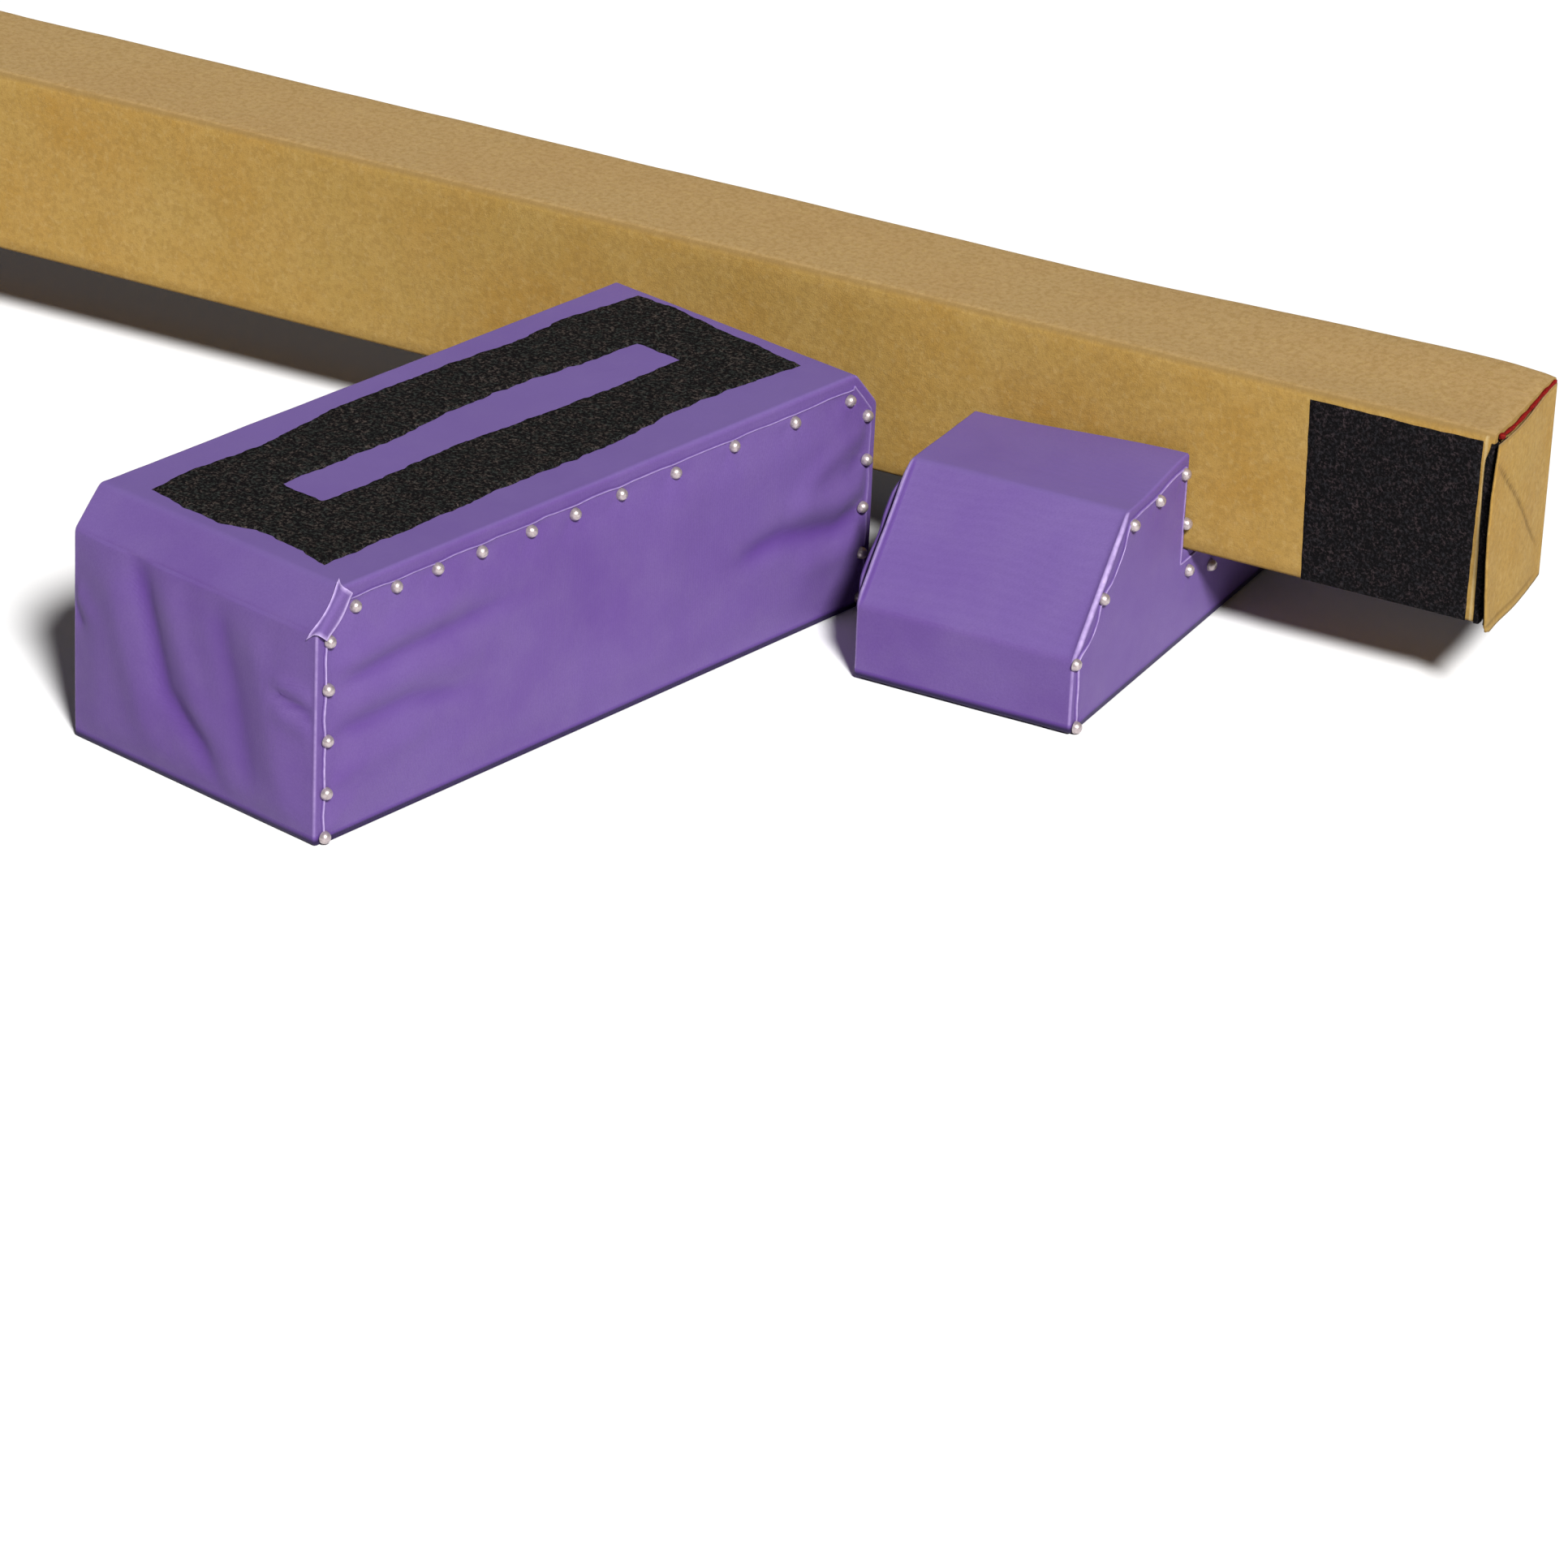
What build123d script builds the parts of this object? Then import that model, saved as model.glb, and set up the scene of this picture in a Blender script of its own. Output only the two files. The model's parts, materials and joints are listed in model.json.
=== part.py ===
"""Low practice balance beam: a padded beam, two saddle cradles and two riser blocks.

The origin is on the floor under the middle of the right-hand cradle. +X runs along the beam
towards its right end, +Y to the back and +Z up. All sizes are in millimetres.
"""
from build123d import *
import math
import os

# ---- beam -------------------------------------------------------------------------------------
core_length = 2438.4        # eight-foot timber
core_width = 88.9
core_height = 139.7
side_pad = 12.8             # foam on each long side
top_pad = 9.5               # foam on top
suede = 1.6                 # cover sleeve
top_edge_round = 7.0
bottom_edge_round = 3.0
end_overhang = 237.0        # beam end to the outer face of the nearest cradle

# ---- loop patches near both beam ends ---------------------------------------------------------
patch_length = 140.0
patch_end_gap = 6.2
patch_thickness = 1.2

# ---- end flaps --------------------------------------------------------------------------------
flap_edge_gap = 1.0         # free edge to the beam's front face
flap_top_gap = 2.0
flap_drop = 5.0             # flap hangs this far below the beam
closure_width = 25.0        # hook strip and loop strip
closure_thickness = 2.4
closure_inset = 2.0
closure_end_gap = 10.0      # strips to the top and bottom of the beam
hinge_clearance = 0.3
piping_radius = 2.2
piping_knot_radius = 3.0
piping_end_gap = 4.0

# ---- cradles ----------------------------------------------------------------------------------
cradle_depth = 495.0        # across the beam
cradle_width = 181.0        # along the beam
cradle_height = 150.0
foot_height = 61.0
slope_run = 80.5
saddle_height = 77.4        # floor to the saddle that carries the beam
cradle_board = 12.7         # base board
cradle_round = 4.0
hook_pad_thickness = 1.5
hook_pad_length = 140.0
hook_pad_height = 56.0
pad_clearance = 0.3         # hook pad to the loop patch that it meets
seat_clearance = 0.3        # saddle to beam
base_sheet_thickness = 1.6  # loop sheet under the cradle
base_sheet_margin = 8.0

# ---- risers -----------------------------------------------------------------------------------
riser_length = 594.0
riser_width = 247.0
riser_height = 194.5
riser_chamfer_run = 25.0
riser_chamfer_drop = 29.0
riser_board = 12.7
riser_rib = 19.0
riser_round = 4.0
riser_angle = 76.3          # long side to the beam, degrees
riser_beam_gap = 4.0        # nearest corner to the beam
riser_cradle_gap = 52.0     # nearest corner to the cradle
hook_ring_length = 514.0
hook_ring_width = 179.0
hook_ring_shift = 5.5       # middle of the ring behind the middle of the riser
hook_hole_length = 376.0
hook_hole_width = 45.0
hook_hole_shift = 10.5      # middle of its opening behind the middle of the riser
hook_hole_offset = 7.0      # and towards the riser's far end
hook_ring_thickness = 2.0

# ---- upholstery -------------------------------------------------------------------------------
vinyl = 1.2                 # thickness of the purple cover cloth
lip_width = 24.0            # wrap turned over the side faces
hem_inset = 7.0             # outline to the hemmed edge of a side cover
hem_floor_gap = 0.6         # side cover to the underside
nail_inset = 12.0           # outline to the nail line
nail_head_radius = 5.4
nail_head_height = 3.2
nail_shank_radius = 1.1
nail_shank_length = 14.0
nail_floor_gap = 8.0        # lowest nails to the underside
edge_nail_pitch = 37.0      # up the riser's upright edges
top_nail_start = 34.0       # along the riser's top edge, from either end
top_nail_pitch = 39.5
top_nail_widening = 2.5     # each space is this much wider than the one before it
mid_nail_span = 50.0        # a cradle edge longer than this also has a nail half-way

# ---- derived sizes ----------------------------------------------------------------------------
beam_width = core_width + 2 * (side_pad + suede)
beam_height = core_height + top_pad + 2 * suede
beam_bottom = saddle_height + seat_clearance
beam_top = beam_bottom + beam_height
beam_front = -beam_width / 2
right_end = cradle_width / 2 + end_overhang
beam_middle = right_end - core_length / 2
notch_half = beam_width / 2 + patch_thickness + pad_clearance + hook_pad_thickness
stand_off = 2 * closure_thickness + hinge_clearance / 2
left_of_beam = Plane.YZ.offset(beam_middle)


def box(low, high):
    """Box between two opposite corners."""
    size = [high[i] - low[i] for i in range(3)]
    centre = [(high[i] + low[i]) / 2 for i in range(3)]
    return Pos(*centre) * Box(*size)


def save(name, *solids):
    """Write one node as a STEP file."""
    shape = solids[0] if len(solids) == 1 else Compound(children=list(solids))
    export_step(shape, f"parts/{name}.step")


def save_both(name, *solids):
    """Write a node at the right end of the beam and its mirror image at the left end."""
    save(f"right_{name}", *solids)
    save(f"left_{name}", *[mirror(solid, about=left_of_beam) for solid in solids])


# ---- beam: timber core, foam on three sides, suede sleeve --------------------------------------
def rounded_section(width, height, top_round, bottom_round):
    """Beam section in the YZ plane, standing on the local origin."""
    outline = Pos(0, height / 2) * Rectangle(width, height)
    corners = outline.vertices()
    outline = fillet([v for v in corners if v.Y > height / 2], top_round)
    return fillet([v for v in outline.vertices() if v.Y < bottom_round], bottom_round)


def along_beam(section, bottom):
    """Extrude a section over the whole beam."""
    start = Plane(origin=(right_end - core_length, 0, bottom), x_dir=(0, 1, 0), z_dir=(1, 0, 0))
    return extrude(start * section, core_length)


def make_beam():
    outside = along_beam(rounded_section(beam_width, beam_height, top_edge_round,
                                         bottom_edge_round), beam_bottom)
    inside = along_beam(rounded_section(beam_width - 2 * suede, beam_height - 2 * suede,
                                        top_edge_round - suede, bottom_edge_round - suede),
                        beam_bottom + suede)
    core_bottom = beam_bottom + suede
    core = box((right_end - core_length, -core_width / 2, core_bottom),
               (right_end, core_width / 2, core_bottom + core_height))
    save("beam_core", core)
    save("beam_padding", inside - core)
    save("beam_cover", outside - inside)


def make_loop_patches():
    low_z = beam_bottom + bottom_edge_round
    high_z = beam_top - top_edge_round
    high_x = right_end - patch_end_gap
    front = box((high_x - patch_length, beam_front - patch_thickness, low_z),
                (high_x, beam_front, high_z))
    save_both("front_loop_patch", front)
    save_both("back_loop_patch", mirror(front, about=Plane.XZ))


# ---- end flap: closes the sleeve, hinged along the back upright edge ---------------------------
def make_end_flap():
    inner_x = right_end + stand_off
    outer_x = inner_x + suede
    back = -beam_front
    low_z = beam_bottom - flap_drop
    high_z = beam_top - flap_top_gap
    sheet = box((inner_x, beam_front + flap_edge_gap, low_z), (outer_x, back, high_z))
    turn = box((right_end + hinge_clearance, back - suede, beam_bottom), (inner_x, back, high_z))
    save_both("end_flap", sheet + turn)

    strip_low = (beam_front + closure_inset, beam_bottom + closure_end_gap)
    strip_high = (strip_low[0] + closure_width, beam_top - closure_end_gap)
    loop = box((right_end, *strip_low), (right_end + closure_thickness, *strip_high))
    hook = box((inner_x - closure_thickness, *strip_low), (inner_x, *strip_high))
    save_both("end_loop_strip", loop)
    save_both("flap_hook_strip", hook)

    piping_start = Location((inner_x - piping_radius, beam_front + piping_end_gap,
                             high_z - piping_knot_radius), (-90, 0, 0))
    length = beam_width - 2 * piping_end_gap
    cord = Cylinder(piping_radius, length, align=(Align.CENTER, Align.CENTER, Align.MIN))
    knot = Cylinder(piping_knot_radius - piping_radius / 4, 2 * piping_knot_radius,
                    align=(Align.CENTER, Align.CENTER, Align.MIN))
    trim = box((right_end, 2 * beam_front, beam_bottom), (inner_x, -2 * beam_front, high_z))
    save_both("flap_piping", (piping_start * (cord + knot)) & trim)


# ---- upholstered blocks: a profile in the XZ plane, extruded across Y --------------------------
def outline_face(points, rounding, sharp=()):
    """Closed outline whose corners are rounded, except those listed as sharp."""
    face = Polygon(*points, align=None)
    keep = [Vector(*points[i]) for i in sharp]
    corners = [v for v in face.vertices()
               if all((Vector(v.X, v.Y) - k).length > 0.01 for k in keep)]
    return fillet(corners, rounding)


def across(face, half_width):
    """Extrude an outline to both sides of the XZ plane."""
    return extrude(Plane.XZ * face, half_width, both=True)


def shrunk(face, distance):
    """The outline moved inwards."""
    return offset(face, -distance, kind=Kind.INTERSECTION)


def make_wrap(face, width):
    """Cover cloth wound round the block, with lips turned over its side faces."""
    core_half = width / 2 - 2 * vinyl
    shell = across(face, core_half + vinyl) - across(shrunk(face, vinyl), core_half)
    return shell - across(shrunk(face, lip_width), width)


def side_cover_outline(face):
    """The outline inset by the hem on every edge but the bottom one."""
    inner = shrunk(face, hem_inset)
    low, high = inner.bounding_box().min, inner.bounding_box().max
    floor = face.bounding_box().min.Y + hem_floor_gap
    top = low.Y + nail_inset
    return inner + Pos((low.X + high.X) / 2, (floor + top) / 2) * Rectangle(high.X - low.X,
                                                                            top - floor)


def make_side_covers(face, width):
    """Hemmed side cloths that lie on the lips of the wrap, one on each side."""
    sheet = extrude(Plane.XZ * side_cover_outline(face), vinyl)
    return [Pos(0, -(width / 2 - vinyl), 0) * sheet, Pos(0, width / 2, 0) * sheet]


def make_nail():
    """Domed upholstery nail, head outside the XZ plane towards -Y, shank towards +Y."""
    ball = (nail_head_radius ** 2 + nail_head_height ** 2) / (2 * nail_head_height)
    dome = Pos(0, 0, nail_head_height - ball) * Sphere(ball)
    reach = 2 * ball
    dome = dome & (Pos(0, 0, reach / 2) * Box(reach, reach, reach))
    shank = Cylinder(nail_shank_radius, nail_shank_length,
                     align=(Align.CENTER, Align.CENTER, Align.MAX))
    return Rot(90, 0, 0) * (dome + shank)


def make_nails(stations, width):
    """Nails at (x, z) stations through both side covers."""
    nail = make_nail()
    front = [Pos(x, -width / 2, z) * nail for x, z in stations]
    return front + [mirror(solid, about=Plane.XZ) for solid in front]


def nail_path(points, inset):
    """Corners of the outline moved inwards."""
    corners = shrunk(Polygon(*points, align=None), inset).vertices()
    path = []
    for x, z in points:
        near = min(corners, key=lambda v: math.hypot(v.X - x, v.Y - z))
        path.append((near.X, near.Y))
    return path


# ---- cradle: three laminated blocks on a base board, with a notch for the beam -----------------
def cradle_outline():
    """Half-profile from the back foot to the saddle, then mirrored to the front."""
    half = cradle_depth / 2
    back = [(half, base_sheet_thickness), (half, foot_height), (half - slope_run, cradle_height),
            (notch_half, cradle_height), (notch_half, saddle_height)]
    return back + [(-x, z) for x, z in reversed(back)]


def cradle_nail_stations(points):
    """A nail at each corner of the side cover, and one half-way along each longer edge."""
    path = nail_path(points, nail_inset)
    path[0] = (path[0][0], base_sheet_thickness + nail_floor_gap)
    path[-1] = (path[-1][0], base_sheet_thickness + nail_floor_gap)
    stations = [path[0]]
    for start, end in zip(path, path[1:]):
        if math.dist(start, end) > mid_nail_span:
            stations.append(((start[0] + end[0]) / 2, (start[1] + end[1]) / 2))
        stations.append(end)
    return stations


def make_cradle():
    points = cradle_outline()
    face = outline_face(points, cradle_round, sharp=(4, 5))
    wooden = across(shrunk(face, vinyl), cradle_width / 2 - 2 * vinyl)
    board_bottom = base_sheet_thickness + vinyl
    board_top = board_bottom + cradle_board
    wall = notch_half + vinyl
    reach = cradle_depth
    board = wooden & box((-reach, -reach, 0), (reach, reach, board_top))
    rest = wooden - board
    front = rest & box((-reach, -reach, 0), (-wall, reach, reach))
    back = rest & box((wall, -reach, 0), (reach, reach, reach))
    saddle = rest & box((-wall, -reach, 0), (wall, reach, reach))

    pad_low = (saddle_height + cradle_height - hook_pad_height) / 2
    pad = box((notch_half - hook_pad_thickness, -hook_pad_length / 2, pad_low),
              (notch_half, hook_pad_length / 2, pad_low + hook_pad_height))
    half_x = cradle_depth / 2 - base_sheet_margin
    half_y = cradle_width / 2 - base_sheet_margin
    sheet = box((-half_x, -half_y, 0), (half_x, half_y, base_sheet_thickness))

    nodes = {
        "cradle_base_board": [board],
        "cradle_front_block": [front],
        "cradle_saddle_block": [saddle],
        "cradle_back_block": [back],
        "cradle_wrap": [make_wrap(face, cradle_width)],
        "cradle_side_covers": make_side_covers(face, cradle_width),
        "cradle_nails": make_nails(cradle_nail_stations(points), cradle_width),
        "cradle_hook_pads": [pad, mirror(pad, about=Plane.YZ)],
        "cradle_base_sheet": [sheet],
    }
    for name, solids in nodes.items():
        save_both(name, *[Rot(0, 0, 90) * solid for solid in solids])


# ---- riser: plywood box with chamfered ends and a hook ring on top -----------------------------
def riser_outline():
    run, drop = riser_chamfer_run, riser_chamfer_drop
    right = riser_length
    return [(0, 0), (right, 0), (right, riser_height - drop), (right - run, riser_height),
            (run, riser_height), (0, riser_height - drop)]


def mitred_boards(points, thickness, half_width):
    """One board along each edge of the outline, mitred at the corners."""
    inner = nail_path(points, thickness)
    boards = []
    for i in range(len(points)):
        j = (i + 1) % len(points)
        corners = Polygon(points[i], points[j], inner[j], inner[i], align=None)
        boards.append(across(corners, half_width))
    return boards


def spaced(start, pitch, widening, end):
    """Stations from start to end, each space wider than the last."""
    stations = [start]
    while stations[-1] + pitch <= end:
        stations.append(stations[-1] + pitch)
        pitch += widening
    return stations


def riser_nail_stations():
    """Nails up both upright edges and along the top edge."""
    heights = spaced(nail_floor_gap, edge_nail_pitch, 0, riser_height - riser_chamfer_drop)
    along = spaced(top_nail_start, top_nail_pitch, top_nail_widening,
                   riser_length - top_nail_start)
    near = [(nail_inset, z) for z in heights]
    far = [(riser_length - nail_inset, z) for z in heights]
    return near + far + [(x, riser_height - nail_inset) for x in along]


def hook_ring():
    """Four strips of hook tape on top of the riser, round an opening a little off its middle."""
    low, high = riser_height, riser_height + hook_ring_thickness
    end = hook_ring_length / 2
    front, back = hook_ring_shift - hook_ring_width / 2, hook_ring_shift + hook_ring_width / 2
    near, far = hook_hole_shift - hook_hole_width / 2, hook_hole_shift + hook_hole_width / 2
    left = hook_hole_offset - hook_hole_length / 2
    right = hook_hole_offset + hook_hole_length / 2
    strips = [box((-end, front, low), (end, near, high)), box((-end, far, low), (end, back, high)),
              box((-end, near, low), (left, far, high)), box((right, near, low), (end, far, high))]
    return [Pos(riser_length / 2, 0, 0) * strip for strip in strips]


def riser_place():
    """Where the riser stands: beside the cradle, its far corner just clear of the beam."""
    turn = math.radians(riser_angle)
    far_x = -cradle_width / 2 - riser_cradle_gap
    corner_x = far_x - riser_length * math.cos(turn)
    corner_y = (beam_front - riser_beam_gap
                - riser_length * math.sin(turn) - riser_width * math.cos(turn))
    return Pos(corner_x, corner_y, 0) * Rot(0, 0, riser_angle) * Pos(0, riser_width / 2, 0)


def make_riser():
    points = riser_outline()
    face = outline_face(points, riser_round)
    wooden_half = riser_width / 2 - 2 * vinyl
    inner_half = wooden_half - riser_board
    wooden = nail_path(points, vinyl)
    soft_edge = across(shrunk(face, vinyl), wooden_half)
    boards = [board & soft_edge for board in mitred_boards(wooden, riser_board, inner_half)]
    base, end, corner, top, near_corner, near_end = boards
    panel = extrude(Plane.XZ * shrunk(face, vinyl), riser_board)
    hollow = across(Polygon(*nail_path(wooden, riser_board), align=None), inner_half)
    middle = riser_length / 2
    rib = hollow & box((middle - riser_rib / 2, -riser_width, 0),
                       (middle + riser_rib / 2, riser_width, riser_height))

    nodes = {
        "riser_base_board": [base],
        "riser_top_board": [top],
        "riser_end_boards": [end, near_end],
        "riser_corner_boards": [corner, near_corner],
        "riser_long_panels": [Pos(0, -inner_half, 0) * panel, Pos(0, wooden_half, 0) * panel],
        "riser_rib": [rib],
        "riser_wrap": [make_wrap(face, riser_width)],
        "riser_side_covers": make_side_covers(face, riser_width),
        "riser_nails": make_nails(riser_nail_stations(), riser_width),
        "riser_hook_ring": hook_ring(),
    }
    place = riser_place()
    for name, solids in nodes.items():
        save_both(name, *[place * solid for solid in solids])


os.makedirs("parts", exist_ok=True)
make_beam()
make_loop_patches()
make_end_flap()
make_cradle()
make_riser()
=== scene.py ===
"""Looks of the balance beam: suede sleeve, end flaps, nailed cloth covers, hook and loop tapes."""
import json
import math
from collections import namedtuple

import bpy
import numpy as np
from mathutils import Matrix, Vector, noise
from mathutils.geometry import delaunay_2d_cdt


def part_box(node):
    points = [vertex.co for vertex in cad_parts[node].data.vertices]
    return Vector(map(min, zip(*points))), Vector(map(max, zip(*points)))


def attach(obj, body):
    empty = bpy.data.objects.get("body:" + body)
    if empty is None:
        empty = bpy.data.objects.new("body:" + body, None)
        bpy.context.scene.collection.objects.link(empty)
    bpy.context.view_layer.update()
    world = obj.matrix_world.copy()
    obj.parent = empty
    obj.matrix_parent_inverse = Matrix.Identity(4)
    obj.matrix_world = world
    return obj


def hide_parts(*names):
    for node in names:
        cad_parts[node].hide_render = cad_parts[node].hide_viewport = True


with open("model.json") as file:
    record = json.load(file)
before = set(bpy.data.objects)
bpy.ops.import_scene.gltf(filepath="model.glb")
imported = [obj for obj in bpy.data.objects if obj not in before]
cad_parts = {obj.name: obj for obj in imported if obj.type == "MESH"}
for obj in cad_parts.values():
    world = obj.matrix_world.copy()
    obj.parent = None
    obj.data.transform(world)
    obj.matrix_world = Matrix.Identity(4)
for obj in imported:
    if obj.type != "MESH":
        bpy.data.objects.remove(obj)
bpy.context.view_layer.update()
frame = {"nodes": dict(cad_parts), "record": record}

MM = 0.001

# ---- sizes shared with the solids, in metres ----------------------------------------------------
CLOTH = 1.2 * MM            # purple cloth
SUEDE = 1.6 * MM
HEM_INSET = 7 * MM          # outline of a block to the hem of its side cover
HEAD_RADIUS = 4.8 * MM
NAIL_SPACE = 15 * MM        # nails in the solids are further apart than this
RISER_CHAMFER_RUN = 25 * MM
RISER_CHAMFER_DROP = 29 * MM
CRADLE_FOOT_HEIGHT = 61 * MM
CRADLE_SLOPE_RUN = 80.5 * MM
SADDLE_HEIGHT = 77.4 * MM

# ---- placing ------------------------------------------------------------------------------------
ENDS = {"right": 1, "left": -1}     # each end of the beam and its way out along x
beam_low, beam_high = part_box("beam_cover")
beam_half_y = (beam_high.y - beam_low.y) / 2
end_x = {"right": beam_high.x, "left": beam_low.x}
mounts = {m["name"]: Vector(m["pos_m"]) for m in frame["record"]["mounts"]}


def block_places(kind, turn):
    """Matrices of the right and left block: local x along the outline, y across, z up."""
    right = Matrix.Translation(mounts[f"right_{kind}_base"]) @ Matrix.Rotation(turn, 4, "Z")
    flip = Matrix.Translation((beam_low.x + beam_high.x, 0, 0)) @ Matrix.Diagonal((-1, 1, 1, 1))
    return {"right": right, "left": flip @ right}


def local_points(node, place):
    """A CAD node's vertices at rest, along the axes of a place."""
    inverse = np.array(place.inverted())
    points = np.array([v.co for v in frame["nodes"][node].data.vertices])
    return points @ inverse[:3, :3].T + inverse[:3, 3]


def block_size(kind, part):
    """Extent of a part of the right block along the block's own axes."""
    return np.ptp(local_points(f"right_{kind}_{part}", places[kind]["right"]), axis=0)


ring_way = mounts["right_riser_hook_face"] - mounts["right_riser_base"]
places = {"riser": block_places("riser", math.atan2(ring_way.y, ring_way.x) - math.pi / 2),
          "cradle": block_places("cradle", math.pi / 2)}
riser_length, _, riser_height = block_size("riser", "wrap")
riser_width = block_size("riser", "side_covers")[1]
cradle_depth = block_size("cradle", "wrap")[0]
cradle_width = block_size("cradle", "side_covers")[1]
notch_half = block_size("cradle", "hook_pads")[0] / 2
cradle_base, cradle_height = (corner.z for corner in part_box("right_cradle_wrap"))


# ---- small tools --------------------------------------------------------------------------------
def smooth_step(value, low, high):
    """0 below low, 1 above high, smooth between."""
    t = np.clip((np.asarray(value, float) - low) / (high - low), 0, 1)
    return t * t * (3 - 2 * t)


def bell(value, middle, width):
    """1 at the middle, falling to 0 on both sides over about twice the width."""
    return np.exp(-((value - middle) / width) ** 2)


def fractal(points, scale, seed, octaves=3):
    """Smooth noise from -1 to 1 at points, with features of about the given size."""
    offset = Vector((seed * 7.31, seed * 3.17, seed * 5.71))
    values = [noise.fractal(Vector(p) / scale + offset, 1.0, 2.0, octaves) for p in points]
    return np.array(values)


def stations(breaks, step):
    """Evenly spaced stations that include every break."""
    result = [breaks[0]]
    for start, end in zip(breaks, breaks[1:]):
        count = max(1, round((end - start) / step))
        result += [start + (end - start) * k / count for k in range(1, count + 1)]
    return np.array(result)


def grid_faces(rows, columns, closed=False):
    """Quads of a rows by columns grid of points; closed joins the last column to the first."""
    faces = []
    for row in range(rows - 1):
        low, high = row * columns, (row + 1) * columns
        for column in range(columns if closed else columns - 1):
            following = (column + 1) % columns
            faces.append((low + column, high + column, high + following, low + following))
    return faces


def flipped(faces):
    """The same faces, seen from behind."""
    return [face[::-1] for face in faces]


def make_mesh(name, points, faces):
    """A mesh from arrays of points and faces."""
    mesh = bpy.data.meshes.new(name)
    mesh.from_pydata(np.asarray(points).tolist(), [], [tuple(int(i) for i in f) for f in faces])
    mesh.update()
    return mesh


def normals_of(points, faces):
    """Vertex normals of a mesh given as arrays."""
    mesh = make_mesh("normals", points, faces)
    result = np.zeros(len(points) * 3, np.float32)
    mesh.vertices.foreach_get("normal", result)
    bpy.data.meshes.remove(mesh)
    return result.reshape(-1, 3)


def make_piece(name, points, faces, body, slot, node, place=Matrix(), smooth=True, **values):
    """A finished piece from local points, turned inside out where its place is mirrored.

    It rides on a body and replaces a CAD node. Its material reads the values, a number per point.
    """
    matrix = np.array(place)
    if np.linalg.det(matrix[:3, :3]) < 0:
        faces = flipped(faces)
    mesh = make_mesh(name, np.asarray(points) @ matrix[:3, :3].T + matrix[:3, 3], faces)
    mesh.polygons.foreach_set("use_smooth", [smooth] * len(mesh.polygons))
    for value_name, numbers in values.items():
        attribute = mesh.attributes.new(value_name, "FLOAT", "POINT")
        attribute.data.foreach_set("value", np.asarray(numbers, np.float32))
    mesh.materials.append(looks[slot])
    piece = bpy.data.objects.new(name, mesh)
    bpy.context.scene.collection.objects.link(piece)
    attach(piece, body)
    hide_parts(node)
    return piece


# ---- outlines -----------------------------------------------------------------------------------
CORNER_STEPS = 6


def unit(vector):
    """A vector's direction."""
    return vector / np.linalg.norm(vector)


def left_of(way):
    """The direction to the left of a direction in a plane."""
    return np.array([-way[1], way[0]])


def inset(points, distance):
    """A closed counter-clockwise outline moved inwards, with mitred corners."""
    points = np.asarray(points, float)
    result = []
    for i, corner in enumerate(points):
        before = left_of(unit(corner - points[i - 1]))
        middle = unit(before + left_of(unit(points[(i + 1) % len(points)] - corner)))
        result.append(corner + middle * distance / (middle @ before))
    return np.array(result)


def side_steps(points, step):
    """How many steps each side of a closed outline is divided into."""
    lengths = np.linalg.norm(np.roll(points, -1, axis=0) - points, axis=1)
    return [max(2, round(length / step)) for length in lengths]


def rounded_loop(points, distance, radii, steps, smallest=0.4 * MM, hollow_radius=0.0):
    """Points along an outline moved inwards, its corners rounded; their number stays the same."""
    moved = inset(points, distance)
    ways = [unit(end - start) for start, end in zip(moved, np.roll(moved, -1, axis=0))]
    arcs = []
    for i, corner in enumerate(moved):
        before, after = ways[i - 1], ways[i]
        turn = math.atan2(before[0] * after[1] - before[1] * after[0], before @ after)
        radius = max(radii[i] - distance, smallest) if turn > 0 else hollow_radius + distance
        start = corner - before * (radius * math.tan(abs(turn) / 2))
        centre = start + math.copysign(radius, turn) * left_of(before)
        arm = start - centre
        angles = [turn * k / CORNER_STEPS for k in range(CORNER_STEPS + 1)]
        arcs.append([centre + (arm * math.cos(a) + left_of(arm) * math.sin(a)) for a in angles])
    loop = []
    for i, count in enumerate(steps):
        first, last = arcs[i][-1], arcs[(i + 1) % len(arcs)][0]
        loop += arcs[i] + [first + (last - first) * k / count for k in range(1, count)]
    return np.array(loop)


def nearest_edge(points, loop):
    """Distance from each point to a closed counter-clockwise polyline, and the way out there."""
    points, loop = np.asarray(points, float), np.asarray(loop, float)
    best = np.full(len(points), np.inf)
    out = np.zeros((len(points), 2))
    for start, end in zip(loop, np.roll(loop, -1, axis=0)):
        span = end - start
        share = np.clip(((points - start) @ span) / max(span @ span, 1e-18), 0, 1)
        away = np.linalg.norm(points - start - share[:, None] * span, axis=1)
        nearer = away < best
        best = np.where(nearer, away, best)
        out[nearer] = -left_of(span) / max(np.linalg.norm(span), 1e-12)
    return best, out


def inside(points, loop):
    """Which points lie inside a closed polyline."""
    x, y = np.asarray(points, float).T
    result = np.zeros(len(points), bool)
    for (from_x, from_y), (to_x, to_y) in zip(loop, np.roll(loop, -1, axis=0)):
        crosses = (from_y > y) != (to_y > y)
        rise = to_y - from_y if abs(to_y - from_y) > 1e-12 else 1e-12
        result ^= crosses & (x < from_x + (y - from_y) * (to_x - from_x) / rise)
    return result


LOW_CORNER = 3.5 * MM       # corner radii of the wound cloth
BEND = 9 * MM
NOTCH_CORNER = 3 * MM
# A block's kind, half its width, its outline in local x and z, and the radii of its corners.
Block = namedtuple("Block", "kind half outline radii")


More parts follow.
